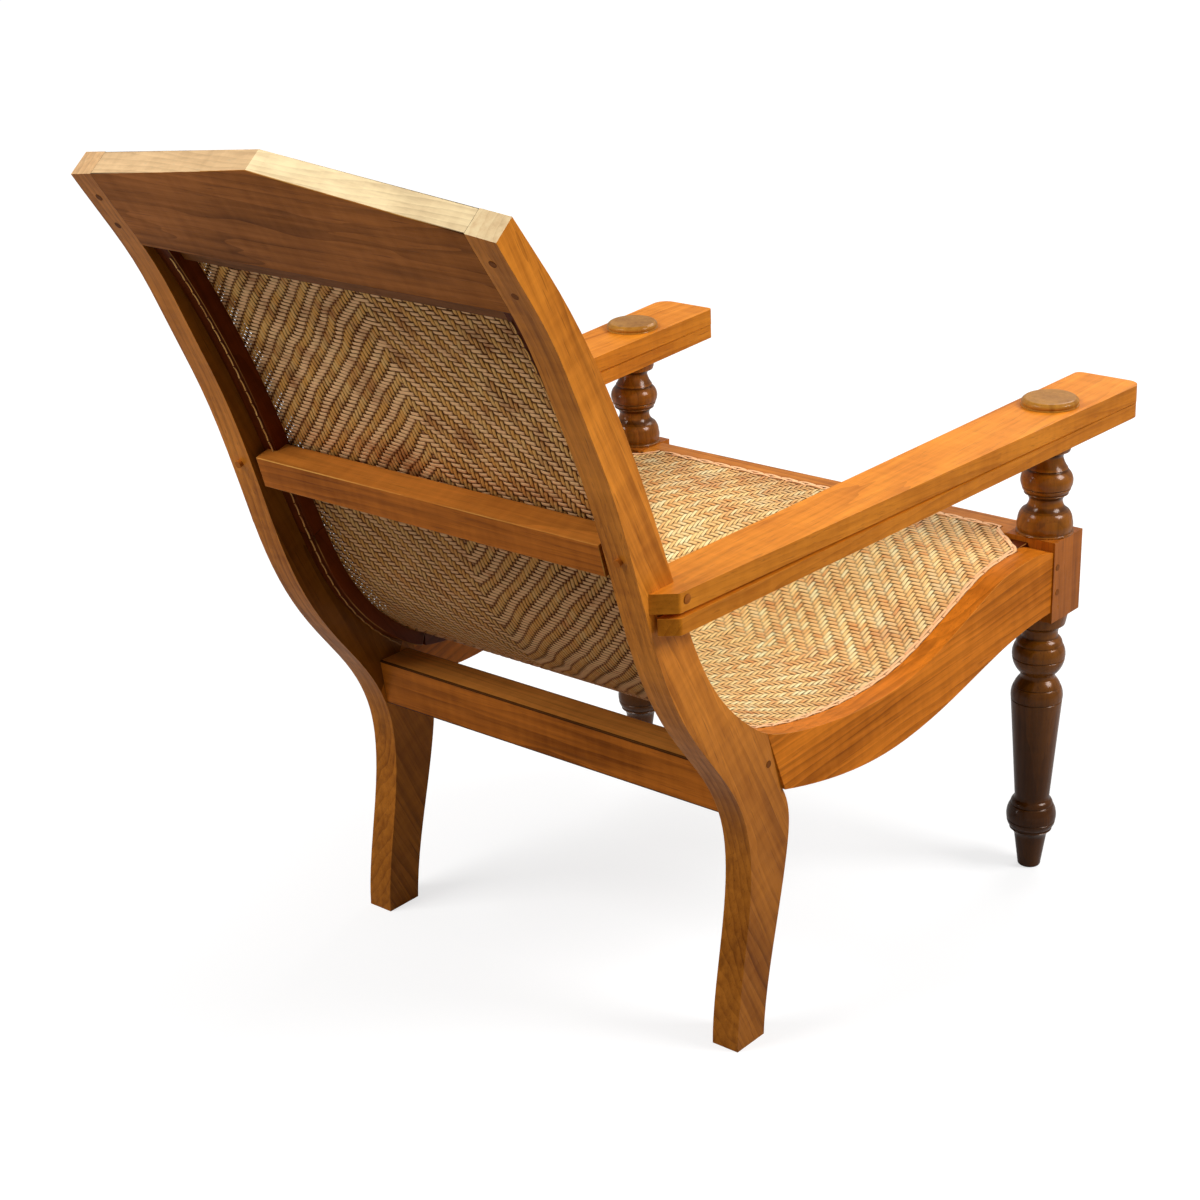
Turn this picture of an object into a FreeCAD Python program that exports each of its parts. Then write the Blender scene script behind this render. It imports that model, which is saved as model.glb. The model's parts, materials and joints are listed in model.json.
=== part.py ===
"""A planters chair: an S-curved reclining frame with a cane seat and back in one sweep, and leg
rests that swing out from under the arms. Millimetres; +Z up, the sitter looks along -Y, the
sitter's left is +X, and the origin lies on the floor under the middle of the chair's outline.
"""
import FreeCAD, Part
import math
import os

import Sketcher

V = FreeCAD.Vector
X_AXIS = V(1, 0, 0)

# Driving dimensions, one cell each. Distances along Y are counted from the front legs' axis.
SIZES = {
    "leg_y": -403.0,            # the front legs' axis in the chair's frame
    "leg_x": 312.0,
    "post_outer": 280.5,        # half the width over the rear posts
    "post_thickness": 34.0,
    "rail_front_outer": 343.3,  # half the width over the side rails where they meet the blocks
    "rail_thickness": 34.3,     # measured across the chair, 34 square to the splayed rail
    "rail_rear": 521.0,         # where the side rail's top meets the post
    "block_size": 66.0,
    "block_low": 343.0,
    "block_height": 101.4,
    "front_rail_face": -17.0,
    "front_rail_depth": 45.0,
    "front_rail_height": 36.0,
    "front_rail_top": 443.5,
    "crest_low_rear": 881.6,    # height of the crest's lower edge, behind
    "crest_low_front": 900.0,   # and in front
    "ridge_height": 995.5,      # top of the crest at the chair's middle, behind
    "tenon_thickness": 12.0,
    "tenon_depth": 24.0,
    "bar_height": 37.0,
    "bar_depth": 35.0,
    "bar_lean": 15.9,
    "bar_end_gap": 7.6,         # the middle rail's shoulders stop short of the posts
    "stretcher_depth": 50.0,
    "cane_thickness": 3.0,
    "cane_inset": 27.0,         # from the outer faces of posts and rails to the cane's edge
    "cane_front": 12.0,
    "ledge_width": 22.0,
    "ledge_joint": 661.0,       # where the upper and lower ledges butt
    "ledge_low_depth": 17.0,    # of the ledges behind the cane, round the hollow
    "ledge_joint_depth": 19.0,  # at the joint
    "ledge_top_depth": 21.0,    # and under the crest
    "crest_ledge_reach": 16.5,  # how far the crest's ledge runs down, measured along Y
    "crest_ledge_depth": 11.5,
    "arm_thickness": 21.0,
    "arm_top": 601.2,           # at the front leg's axis
    "arm_slope": 1.64,
    "swing_top": 579.0,
    "swing_thickness": 18.0,
    "swing_slope": 1.98,
    "pin_radius": 9.0,
    "pin_clearance": 0.05,
    "pin_length": 98.0,
    "peg_radius": 4.0,
    "dowel_radius": 5.0,
    "seat_gap": 0.3,            # between the leg's collar and the swing arm
}

# The line that the cane follows: over the seat, through the hollow and up the back, as distance
# behind the front legs' axis and height. Side rails and posts are sawn to the same line.
SEAT_LINE = [
    (12, 443.5), (40, 440.6), (70, 436.6), (100, 432.4), (132, 423.4), (168, 406), (204, 387.6),
    (240, 370), (278, 355.4), (318, 346.4), (360, 342.2), (405, 341.6), (450, 345.4),
    (490, 352.2), (521, 362), (551, 381.4), (590, 416.4), (628, 468), (656, 527), (678, 582),
    (721.5, 692), (770, 795), (832.5, 899), (876, 957), (921, 1016.5),
]
POST_REAR = [
    (576, 0), (563, 104), (550.5, 203), (556, 256), (581, 313), (629, 376), (667, 430),
    (701, 500), (729, 583), (776, 714), (806, 778), (845, 857), (895, 932), (940, 1001.5),
]
POST_FRONT_LOW = [(493, 287), (481, 252), (484, 212), (497.5, 150), (511, 96.5), (527, 0)]
RAIL_UNDERSIDE = [
    (493, 287), (430, 276), (369, 272), (320, 275), (280, 282.4), (238, 294),
    (195.7, 309), (150, 326.6), (108.8, 341), (70, 351), (33, 357),
]
RAIL_NOSE = [(33, 432.4), (46, 435.4), (60, 436.5), (76, 435.9)]
CREST_REAR, CREST_FRONT = 860.0, 832.5  # distances of the crest's two lower edges
RIDGE = 936.0                           # distance of its ridge, behind
GABLE_FOOT = (912.0, 960.0)             # the same edge over the posts' outer faces
CREST_TOP_FALL = V(0, -18.2, 15.8)      # across the crest's top, from its rear edge to its front

doc = FreeCAD.newDocument("planters_chair")


def fill_sheet():
    """Writes the driving dimensions into the document's spreadsheet."""
    sheet = doc.addObject("Spreadsheet::Sheet", "Sizes")
    for row, (alias, number) in enumerate(SIZES.items(), start=1):
        sheet.set(f"A{row}", alias)
        sheet.set(f"B{row}", str(number))
        sheet.setAlias(f"B{row}", alias)
    doc.recompute()
    return sheet


def size(alias):
    """A driving dimension, read back from the sheet."""
    return float(SHEET.get(alias))


def at(distance, height):
    """A point of the side view, in the chair's own Y and Z, as sketch coordinates."""
    return V(distance + size("leg_y"), height, 0)


def bind(obj, **cells):
    """Ties properties of an object to expressions of the sheet's cells."""
    for prop, expression in cells.items():
        words = expression.replace("{", "Sizes.").replace("}", "")
        obj.setExpression(prop.replace("__", "."), words)


# Curves of the side view

def through(points):
    """A smooth curve through points of the side view."""
    curve = Part.BSplineCurve()
    curve.interpolate([at(*point) for point in points])
    return curve


def stretch(curve, start, end):
    """The part of a curve between the points nearest to two points of the side view."""
    first, last = sorted(curve.parameter(point) for point in (start, end))
    piece = curve.copy()
    piece.segment(first, last)
    return piece


def beside(curve, start, end, near, far):
    """A curve on the lower side of another, from one distance off it to another distance."""
    first, last = curve.parameter(start), curve.parameter(end)
    count = max(6, round(curve.length(min(first, last), max(first, last)) / SAMPLE_STEP))
    points = []
    for step in range(count + 1):
        share = step / count
        here = first + share * (last - first)
        along = curve.tangent(here)[0]
        off = near + share * (far - near)
        points.append(curve.value(here) + V(along.y, -along.x, 0) * off)
    copy = Part.BSplineCurve()
    copy.interpolate(points)
    return copy


def on_curve(curve, distance):
    """The point of a curve of the side view at a distance behind the front legs' axis."""
    x = distance + size("leg_y")
    low, high = curve.FirstParameter, curve.LastParameter
    for _ in range(60):
        middle = (low + high) / 2
        if curve.value(middle).x < x:
            low = middle
        else:
            high = middle
    return curve.value(low)


def on_seat_line(distance):
    return on_curve(SEAT, distance)


def line(start, end):
    return Part.LineSegment(start, end)


def closed(*curves):
    """Joins open curves, in order, into a closed outline with straight lines across the gaps."""
    outline = []
    for curve, after in zip(curves, curves[1:] + curves[:1]):
        outline.append(curve)
        start, end = curve.EndPoint, after.StartPoint
        if start.distanceToPoint(end) > 1e-6:
            outline.append(line(start, end))
    return outline


def polygon(points):
    return [line(a, b) for a, b in zip(points, points[1:] + points[:1])]


def rounded(corners):
    """An outline of straight edges with an arc of its own radius at each (x, y, radius) corner."""
    outline, ends = [], []
    count = len(corners)
    for index, (x, y, radius) in enumerate(corners):
        here = V(x, y, 0)
        before = V(*corners[index - 1][:2], 0) - here
        after = V(*corners[(index + 1) % count][:2], 0) - here
        before.normalize()
        after.normalize()
        half = before.getAngle(after) / 2
        if radius == 0:
            ends.append((here, here, None))
            continue
        reach = radius / math.tan(half)
        inward = before + after
        inward.normalize()
        middle = here + inward * (radius / math.sin(half) - radius)
        ends.append((here + before * reach, here + after * reach, middle))
    for index, (start, end, middle) in enumerate(ends):
        if middle is not None:
            outline.append(Part.Arc(start, middle, end))
        outline.append(line(end, ends[(index + 1) % count][0]))
    return outline


# Document objects

def sketch_in(body, name, role, outline):
    """A sketch on one of a body's own origin planes, holding a closed outline."""
    sketch = body.newObject("Sketcher::SketchObject", name)
    plane = next(item for item in body.Origin.OriginFeatures if item.Role == role)
    sketch.AttachmentSupport = (plane, [""])
    sketch.MapMode = "FlatFace"
    for curve in outline:
        sketch.addGeometry(curve, False)
    return sketch


def new_body(name):
    return doc.addObject("PartDesign::Body", name)


def pad(body, sketch, length, reverse=False):
    """Pads a sketch by the length that an expression of the cells gives."""
    feature = body.newObject("PartDesign::Pad", f"{body.Name}_pad")
    feature.Profile = (sketch, [""])
    feature.Reversed = reverse
    bind(feature, Length=length)
    sketch.Visibility = False
    return feature


def side_plank(name, outline, inner, thickness):
    """A plank with a shaped side view: padded outwards from its inner face."""
    body = new_body(name)
    sketch = sketch_in(body, f"{name}_side", "YZ_Plane", outline)
    bind(sketch, AttachmentOffset__Base__z=inner)
    pad(body, sketch, thickness)
    return body


def plan_block(name, outline, low, height):
    """A block with a shaped plan, padded upwards from its underside."""
    body = new_body(name)
    sketch = sketch_in(body, f"{name}_plan", "XY_Plane", outline)
    bind(sketch, AttachmentOffset__Base__z=low)
    pad(body, sketch, height)
    return body


def dimensioned_rectangle(body, name, role, wide, tall):
    """A rectangle centred on the body's origin, with its two dimensions driven by cells."""
    half_wide, half_tall = size(wide) / 2, size(tall) / 2
    corners = [V(-half_wide, -half_tall, 0), V(half_wide, -half_tall, 0),
               V(half_wide, half_tall, 0), V(-half_wide, half_tall, 0)]
    sketch = sketch_in(body, name, role, polygon(corners))
    for side in range(4):
        sketch.addConstraint(Sketcher.Constraint("Coincident", side, 2, (side + 1) % 4, 1))
        kind = "Vertical" if side % 2 else "Horizontal"
        sketch.addConstraint(Sketcher.Constraint(kind, side))
    sketch.addConstraint(Sketcher.Constraint("Symmetric", 0, 1, 2, 1, -1, 1))
    across = sketch.addConstraint(Sketcher.Constraint("DistanceX", 0, 1, 0, 2, 2 * half_wide))
    up = sketch.addConstraint(Sketcher.Constraint("DistanceY", 1, 1, 1, 2, 2 * half_tall))
    sketch.setExpression(f"Constraints[{across}]", f"Sizes.{wide}")
    sketch.setExpression(f"Constraints[{up}]", f"Sizes.{tall}")
    return sketch


def box(name, length, width, height, base, rotation=FreeCAD.Rotation()):
    """A box whose three sizes are numbers, or expressions of the cells where they are text."""
    block = doc.addObject("Part::Box", name)
    for prop, measure in (("Length", length), ("Width", width), ("Height", height)):
        if isinstance(measure, str):
            bind(block, **{prop: measure})
        else:
            setattr(block, prop, measure)
    block.Placement = FreeCAD.Placement(base, rotation)
    return block


def rod(name, radius, length, start, direction):
    """A round rod from a starting point along a direction."""
    peg = doc.addObject("Part::Cylinder", name)
    bind(peg, Radius=radius)
    peg.Height = length
    peg.Placement = FreeCAD.Placement(start, FreeCAD.Rotation(V(0, 0, 1), direction))
    return peg


def hide(*objects):
    for obj in objects:
        obj.Visibility = False


def cut(name, base, *tools):
    """The base with every tool cut away."""
    tool = tools[0]
    if len(tools) > 1:
        tool = doc.addObject("Part::MultiFuse", f"{name}_tools")
        tool.Shapes = list(tools)
    result = doc.addObject("Part::Cut", name)
    result.Base = base
    result.Tool = tool
    hide(base, tool)
    return result


def common(name, one, other):
    result = doc.addObject("Part::Common", name)
    result.Base = one
    result.Tool = other
    hide(one, other)
    return result


def fuse(name, *shapes):
    result = doc.addObject("Part::MultiFuse", name)
    result.Shapes = list(shapes)
    hide(*shapes)
    return result


def group(name, *shapes):
    """Separate solids kept together under one name."""
    result = doc.addObject("Part::Compound", name)
    result.Links = list(shapes)
    hide(*shapes)
    return result


def mirrored(name, source):
    """The same piece on the sitter's other side."""
    result = doc.addObject("Part::Mirroring", name)
    result.Source = source
    result.Base = V(0, 0, 0)
    result.Normal = X_AXIS
    return result


SHEET = fill_sheet()
SAMPLE_STEP = 14.0
SEAT = through(SEAT_LINE)
REAR = through(POST_REAR)
CREST_EDGE = SEAT.value(SEAT.parameter(at(CREST_FRONT, size("crest_low_front"))))
CREST_EDGE_DISTANCE = CREST_EDGE.x - size("leg_y")
CANE_BACK = beside(SEAT, SEAT.StartPoint, CREST_EDGE, size("cane_thickness"), size("cane_thickness"))


def rail_outer(distance):
    """Half the width over the splayed side rails at a distance behind the front legs."""
    near, far = size("block_size") / 2, size("rail_rear")
    share = (distance - near) / (far - near)
    return size("rail_front_outer") + share * (size("post_outer") - size("rail_front_outer"))


# Crest and posts

CREST_LEAN = math.degrees(math.atan2(RIDGE - CREST_REAR, size("ridge_height") - size("crest_low_rear")))
CREST_UP = V(0, math.sin(math.radians(CREST_LEAN)), math.cos(math.radians(CREST_LEAN)))
CREST_FRONTWARDS = V(0, -CREST_UP.z, CREST_UP.y)
CREST_LOW = V(0, CREST_REAR + size("leg_y"), size("crest_low_rear"))
PEG_LENGTH = 22.0


def gable_cutter(side):
    """A block whose underside is the slope of the crest's top on one side of the ridge."""
    ridge = V(0, RIDGE + size("leg_y"), size("ridge_height"))
    end = V(side * size("post_outer"), GABLE_FOOT[0] + size("leg_y"), GABLE_FOOT[1])
    down_slope = end - ridge
    normal = CREST_TOP_FALL.cross(down_slope) * side
    turn = FreeCAD.Rotation(down_slope * side, CREST_TOP_FALL, normal, "ZXY")
    across, deep, tall = 360, 120, 60
    past_ridge, behind = 30, 45
    start = turn.multVec(V(-past_ridge if side > 0 else past_ridge - across, -behind, 0))
    name = "gable_left_cutter" if side > 0 else "gable_right_cutter"
    return box(name, across, deep, tall, ridge + start, turn)


def crest_tenon(name):
    """The crest rail's tenon in the left post, in the board's own slope."""
    turn = FreeCAD.Rotation(X_AXIS, -CREST_LEAN)
    tall, up, from_rear = 70.0, 12.0, 20.0
    inner = V(size("post_outer") - size("post_thickness"), 0, 0)
    corner = CREST_LOW + inner + CREST_UP * up + CREST_FRONTWARDS * from_rear
    return box(name, "{tenon_depth}", "{tenon_thickness}", tall, corner, turn)


def crest_pegs():
    """Two pegs a side, driven from behind through the post and the crest's tenon."""
    pegs = []
    for index, (x, up, proud) in enumerate(((260.8, 65.2, 1.6), (264.5, 25.6, 0.4)), start=1):
        start = CREST_LOW + V(x, 0, 0) + CREST_UP * up - CREST_FRONTWARDS * proud
        pegs.append(rod(f"crest_peg_{index}", "{peg_radius}", PEG_LENGTH + proud, start, CREST_FRONTWARDS))
    return pegs


def post_outline():
    """Side view of a rear post, from the crest down the back, the foot, the knee and the seam."""
    foot_front, foot_rear = at(*POST_FRONT_LOW[-1]), at(*POST_REAR[0])
    shin = through(POST_FRONT_LOW)
    seam_top = on_seat_line(size("rail_rear"))
    upright = stretch(SEAT, seam_top, SEAT.EndPoint)
    upright.reverse()
    return closed(REAR, upright, line(seam_top, shin.StartPoint), shin, line(foot_front, foot_rear))


def crest_outline():
    """Section of the crest rail: the same curves as the posts, above its lower edge."""
    rear_low = REAR.value(REAR.parameter(at(CREST_REAR, size("crest_low_rear"))))
    front_low = SEAT.value(SEAT.parameter(at(CREST_FRONT, size("crest_low_front"))))
    rear = stretch(REAR, rear_low, REAR.EndPoint)
    front = stretch(SEAT, front_low, SEAT.EndPoint)
    front.reverse()
    return closed(rear, front)


# Rails

def bar_turn():
    return FreeCAD.Rotation(X_AXIS, -size("bar_lean"))


BAR_MIDDLE = V(0, 735.7 + size("leg_y"), 611.0)
BAR_TENON_IN_POST = 20.0


def middle_rail_blank():
    """The middle back rail: a rectangle leaning with the back, its shoulders short of the posts."""
    body = new_body("middle_rail_blank")
    sketch = dimensioned_rectangle(body, "middle_rail_section", "YZ_Plane", "bar_depth", "bar_height")
    feature = pad(body, sketch, "2 * ({post_outer} - {post_thickness} - {bar_end_gap})")
    feature.SideType = "Symmetric"
    backset = bar_turn().multVec(V(0, size("bar_depth") / 2, 0))
    body.Placement = FreeCAD.Placement(BAR_MIDDLE - backset, bar_turn())
    return body


def middle_rail_tenon(name):
    """Tenon of the middle rail in the left post, bridging the gap at its shoulder."""
    tall = 24.0
    reach = size("bar_end_gap") + BAR_TENON_IN_POST
    start = size("post_outer") - size("post_thickness") - size("bar_end_gap")
    offset = bar_turn().multVec(V(0, -size("bar_depth") / 2 - size("tenon_thickness") / 2, -tall / 2))
    return box(name, reach, "{tenon_thickness}", tall, BAR_MIDDLE + V(start, 0, 0) + offset, bar_turn())


STRETCHER_LOW, STRETCHER_TOP = (559.5, 273.6), (567.5, 331.3)   # its rear face's two edges


def stretcher_blank():
    """The rear stretcher, its faces leaning a little with the knees' rear edge."""
    depth = size("stretcher_depth")
    low, top = at(*STRETCHER_LOW), at(*STRETCHER_TOP)
    corners = [low, top, top - V(depth, 0, 0), low - V(depth, 0, 0)]
    inner = "{post_outer} - {post_thickness}"
    return side_plank("stretcher_blank", polygon(corners), f"-({inner})", f"2 * ({inner})")


def stretcher_tenon(name):
    rear, low, tall = 541, 285, 33.0
    start = V(size("post_outer") - size("post_thickness"), rear + size("leg_y"), low)
    return box(name, 22.0, "{tenon_thickness}", tall, start)


def side_rail_blank():
    """The left side rail: its splayed plan and its serpentine side view, sawn from one plank."""
    front = size("block_size") / 2
    seam_top = on_seat_line(size("rail_rear"))
    seam_low = at(*RAIL_UNDERSIDE[0])
    nose_end = on_seat_line(RAIL_NOSE[-1][0])
    nose = through(RAIL_NOSE[:-1] + [(RAIL_NOSE[-1][0], nose_end.y)])
    top = stretch(SEAT, nose_end, seam_top)
    under = through(RAIL_UNDERSIDE)
    outline = closed(nose, top, line(seam_top, seam_low), under)
    side = side_plank("side_rail_side", outline, "{post_outer} - {post_thickness} - 10", "110")
    thickness = size("rail_thickness")
    rear = size("rail_rear") + 1
    plan = [V(rail_outer(y) - inset, y + size("leg_y"), 0)
            for y, inset in ((front, 0), (rear, 0), (rear, thickness), (front, thickness))]
    splay = plan_block("side_rail_splay", polygon(plan), "{block_low} - 100", "220")
    return common("side_rail_blank", side, splay)


def rail_front_tenon(name):
    """Tenon of the side rail in the front leg's block."""
    depth, tall, low = 25.0, 54.0, 368.0
    front = size("block_size") / 2
    middle = rail_outer(front) - size("rail_thickness") / 2
    corner = V(middle - size("tenon_thickness") / 2, front - depth + size("leg_y"), low)
    return box(name, "{tenon_thickness}", depth, tall, corner)


def rail_rear_tenon(name):
    """Tenon of the side rail in the post's knee, square to the sloping seam."""
    top, low = on_seat_line(size("rail_rear")), at(*RAIL_UNDERSIDE[0])
    lean = math.degrees(math.atan2(top.x - low.x, top.y - low.y))
    turn = FreeCAD.Rotation(X_AXIS, -lean)
    tall = 46.0
    across = size("post_outer") - size("post_thickness") / 2 - size("tenon_thickness") / 2
    middle = V(across, (top.x + low.x) / 2, (top.y + low.y) / 2)
    corner = middle + turn.multVec(V(0, 0, -tall / 2))
    return box(name, "{tenon_thickness}", "{tenon_depth}", tall, corner, turn)


def front_rail_outline():
    """Section of the front rail: flat on top, then falling under the cane's front edge."""
    face, depth = size("front_rail_face"), size("front_rail_depth")
    top, low = size("front_rail_top"), size("front_rail_top") - size("front_rail_height")
    edge = on_seat_line(size("cane_front"))
    rear = on_seat_line(face + depth)
    crown = [at(face, low), at(face, top), edge, rear, at(face + depth, low)]
    return polygon(crown)


def front_rail_tenon(name):
    low, tall = 413.0, 24.0
    start = V(size("leg_x") - size("block_size") / 2, size("leg_y") - size("tenon_thickness") / 2, low)
    return box(name, "{tenon_depth}", "{tenon_thickness}", tall, start)


# Cane and the ledges that it is laced to

LEDGE_CORNER = 511.0    # where the ledges of back and seat butt, in the hollow
BRACE_REAR = 86.0       # where the corner brace ends and the seat's ledge begins


def backing(name, start, end, depth_start, depth_end, inner, width):
    """A strip behind the cane, from one distance behind the legs' axis to another."""
    first, last = on_curve(CANE_BACK, start), on_curve(CANE_BACK, end)
    upper = stretch(CANE_BACK, first, last)
    lower = beside(CANE_BACK, last, first, depth_end, depth_start)
    return side_plank(name, closed(upper, lower), inner, width)


def cane_plan():
    """Plan of the cane: parallel up the back, splayed over the seat, mitred at the leg blocks."""
    inset = size("cane_inset")
    back = size("post_outer") - inset
    mitre_outer, mitre_inner = 62.0, 262.0
    half = [(mitre_inner, 0), (mitre_inner, 20), (rail_outer(mitre_outer) - inset, mitre_outer),
            (back, size("rail_rear")), (back, 900)]
    points = [V(x, y + size("leg_y"), 0) for x, y in half]
    points += [V(-point.x, point.y, 0) for point in reversed(points)]
    return polygon(points)


def cane_panel():
    """The woven panel's space: one sheet over the seat, round the hollow and up the back."""
    upper = stretch(SEAT, SEAT.StartPoint, CREST_EDGE)
    lower = CANE_BACK.copy()
    lower.reverse()
    band = side_plank("cane_side", closed(upper, lower), "-{rail_front_outer}", "2 * {rail_front_outer}")
    plan = plan_block("cane_plan", cane_plan(), "{block_low} - 100", "800")
    return common("cane_panel", band, plan)


def upper_ledge_blank():
    """Ledge on the post's inner face behind the upper cane, down to the butt joint."""
    width = "{ledge_width}"
    return backing("upper_ledge_blank", size("ledge_joint"), CREST_EDGE_DISTANCE,
                   size("ledge_joint_depth"), size("ledge_top_depth"),
                   f"{{post_outer}} - {{post_thickness}} - {width}", width)


def lower_ledge():
    """Ledge on the post's inner face round the hollow of the seat."""
    width = "{ledge_width}"
    return backing("lower_ledge_left", LEDGE_CORNER, size("ledge_joint"),
                   size("ledge_low_depth"), size("ledge_joint_depth"),
                   f"{{post_outer}} - {{post_thickness}} - {width}", width)


def seat_ledge():
    """Ledge along the side rail's inner face, following its splay."""
    front, rear = BRACE_REAR, LEDGE_CORNER
    depth = size("ledge_low_depth")
    band = backing("seat_ledge_side", front, rear, depth, depth,
                   "{post_outer} - {post_thickness} - 40", "140")
    outer, width = size("rail_thickness"), size("ledge_width")
    plan = [V(rail_outer(y) - inset, y + size("leg_y"), 0)
            for y, inset in ((front, outer), (rear, outer), (rear, outer + width), (front, outer + width))]
    splay = plan_block("seat_ledge_splay", polygon(plan), "{block_low} - 100", "220")
    return common("seat_ledge_left", band, splay)


def crest_ledge():
    """Strip under the crest's lower edge that the cane's top border is laced to."""
    half = "({post_outer} - {post_thickness} - {ledge_width})"
    start, depth = CREST_EDGE_DISTANCE - size("crest_ledge_reach"), size("crest_ledge_depth")
    strip = backing("crest_strip", start, CREST_EDGE_DISTANCE, depth, depth, f"-{half}", f"2 * {half}")
    strip.Label = "crest_ledge"
    return strip


def corner_brace():
    """Brace behind the leg block, under the mitred corner of the cane."""
    front = size("block_size") / 2
    rail_back = size("front_rail_face") + size("front_rail_depth")
    block_inner = size("leg_x") - size("block_size") / 2
    thickness = size("rail_thickness")
    rear = BRACE_REAR
    before, beside_rail = 40.0, 14.0    # its widths along the front rail and along the side rail
    plan = [(block_inner - before, rail_back), (block_inner, rail_back), (block_inner, front),
            (rail_outer(front) - thickness, front), (rail_outer(rear) - thickness, rear),
            (rail_outer(rear) - thickness - beside_rail, rear)]
    points = [V(x, y + size("leg_y"), 0) for x, y in plan]
    column = plan_block("corner_brace_plan", polygon(points), "{block_low}", "{block_height} + 20")
    depth = 25.0
    band = backing("corner_brace_side", rail_back - 1, rear, depth, depth, "{post_outer} - 60", "120")
    return common("corner_brace_left", column, band)


# Front legs

LEG_LOW = [
    ("line", (11, 0)), ("arc", (13.4, 1.2), (14.2, 3.8)), ("line", (19.4, 40)),
    ("arc", (21.2, 46.5), (26.2, 52)), ("line", (24.6, 53.4)), ("arc", (28.4, 58), (29.9, 63.2)),
    ("line", (28.2, 64.2)), ("line", (30.2, 65.2)), ("arc", (30.3, 75), (27, 84.4)),
    ("line", (25, 85.4)), ("line", (26.1, 86.4)), ("arc", (25.1, 89.6), (23, 92.4)),
    ("line", (22.3, 93)), ("arc", (21.6, 95), (21.4, 98)),
    ("line", (31.1, 226.4)), ("line", (29.4, 227.4)), ("line", (31.3, 228.4)),
    ("arc", (31.5, 236), (29.2, 244.4)), ("line", (27, 245.4)), ("line", (28.2, 246.4)),
    ("arc", (25.9, 251), (21.6, 256.4)), ("arc", (21, 259.5), (22, 263)),
    ("arc", (29.6, 274), (31.8, 282)), ("line", (30, 283)),
    ("line", (32, 284.2)), ("arc", (31.8, 292), (29, 299.6)), ("line", (27.2, 300.6)),
    ("line", (28.2, 302)), ("arc", (26, 307.4), (22, 311)), ("line", (22, 317)),
    ("arc", (25, 324.4), (30, 328)), ("line", (31.5, 335)), ("line", (33, 343.2)),
]
LEG_HIGH = [
    ("line", (32, 444.4)), ("line", (34, 444.4)), ("arc", (34.4, 445.4), (34, 446.4)),
    ("line", (32, 446.8)), ("arc", (33.4, 453.2), (32.5, 460)), ("arc", (31.2, 466.2), (28.2, 471.4)),
    ("line", (27, 472.2)), ("line", (25.9, 473)), ("arc", (21.6, 477.8), (19.8, 484)),
    ("arc", (21.2, 488.6), (26.4, 493.2)), ("line", (25, 494.3)), ("arc", (27.8, 497), (29, 500)),
    ("line", (27.2, 501)), ("line", (29.6, 502)), ("arc", (31, 510.6), (26.2, 520.8)),
    ("line", (24.6, 522.4)), ("line", (23, 523.4)), ("line", (24.3, 524.4)),
    ("arc", (20.4, 531), (18, 538)), ("arc", (20, 543), (25.8, 546)),
    ("line", (27, 550)), ("line", (27, 570)),
]


def turned(start, steps):
    """A lathe outline: half the section, closed along the axis."""
    outline = []
    here = V(*start, 0)
    for kind, *points in steps:
        points = [V(*point, 0) for point in points]
        if kind == "arc":
            outline.append(Part.Arc(here, *points))
        else:
            outline.append(line(here, *points))
        here = points[-1]
    top, bottom = V(0, here.y, 0), V(*start, 0)
    outline += [line(here, top), line(top, bottom)]
    return outline


def revolve(body, name, start, steps):
    """Turns a lathe outline once round the body's own Z axis."""
    sketch = sketch_in(body, f"{name}_profile", "XZ_Plane", turned(start, steps))
    feature = body.newObject("PartDesign::Revolution", f"{name}_turning")
    feature.Profile = (sketch, [""])
    feature.ReferenceAxis = (sketch, ["V_Axis"])
    feature.Angle = 360
    sketch.Visibility = False
    return feature


def leg_blank():
    """A front leg turned from one billet, with the square block left between its two turnings."""
    body = new_body("front_leg_blank")
    revolve(body, "leg_low", (0, 0), LEG_LOW)
    revolve(body, "leg_high", (0, size("block_low") + size("block_height") / 2), LEG_HIGH_FROM_BLOCK)
    sketch = dimensioned_rectangle(body, "leg_block", "XY_Plane", "block_size", "block_size")
    bind(sketch, AttachmentOffset__Base__z="{block_low}")
    pad(body, sketch, "{block_height}")
    body.Placement.Base = V(size("leg_x"), size("leg_y"), 0)
    bind(body, Placement__Base__x="{leg_x}", Placement__Base__y="{leg_y}")
    return body


LEG_HIGH_FROM_BLOCK = [("line", (20, 393.7))] + LEG_HIGH


def swing_turn():
    return FreeCAD.Rotation(X_AXIS, -size("swing_slope"))


def swing_clearance():
    """Space that the swing arm moves in, above the leg's collar."""
    low = -size("swing_thickness") - size("seat_gap")
    half, tall = 60, 80
    corner = swing_turn().multVec(V(-half, -half, low))
    pivot = V(size("leg_x"), size("leg_y"), size("swing_top"))
    return box("collar_cutter", 2 * half, 2 * half, tall, pivot + corner, swing_turn())


# Arms

ARM_INNER, ARM_OUTER, ARM_NOSE = 276.5, 364.5, -130.0   # the boards' front end
ARM_TAPER = 0.0728      # what the outer edge gains inwards per millimetre to the rear
ARM_INNER_END = 640.0   # where the inner edge meets the post's line
ARM_SHOULDER = 700.0    # rear end of the part beside the post's thickness


def arm_outer(distance):
    """Half the width over the arms at a distance behind the front legs."""
    return ARM_OUTER - ARM_TAPER * (distance - ARM_NOSE)


def arm_blank(name, corners, top, slope, thickness):
    """An arm board: its plan in the board's own plane, sloping down to the rear."""
    body = new_body(name)
    sketch = sketch_in(body, f"{name}_plan", "XY_Plane", rounded(corners))
    pad(body, sketch, thickness, reverse=True)
    body.Placement = FreeCAD.Placement(V(0, size("leg_y"), size(top)), FreeCAD.Rotation(X_AXIS, -size(slope)))
    bind(body, Placement__Base__y="{leg_y}", Placement__Base__z=f"{{{top}}}")
    return body


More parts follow.
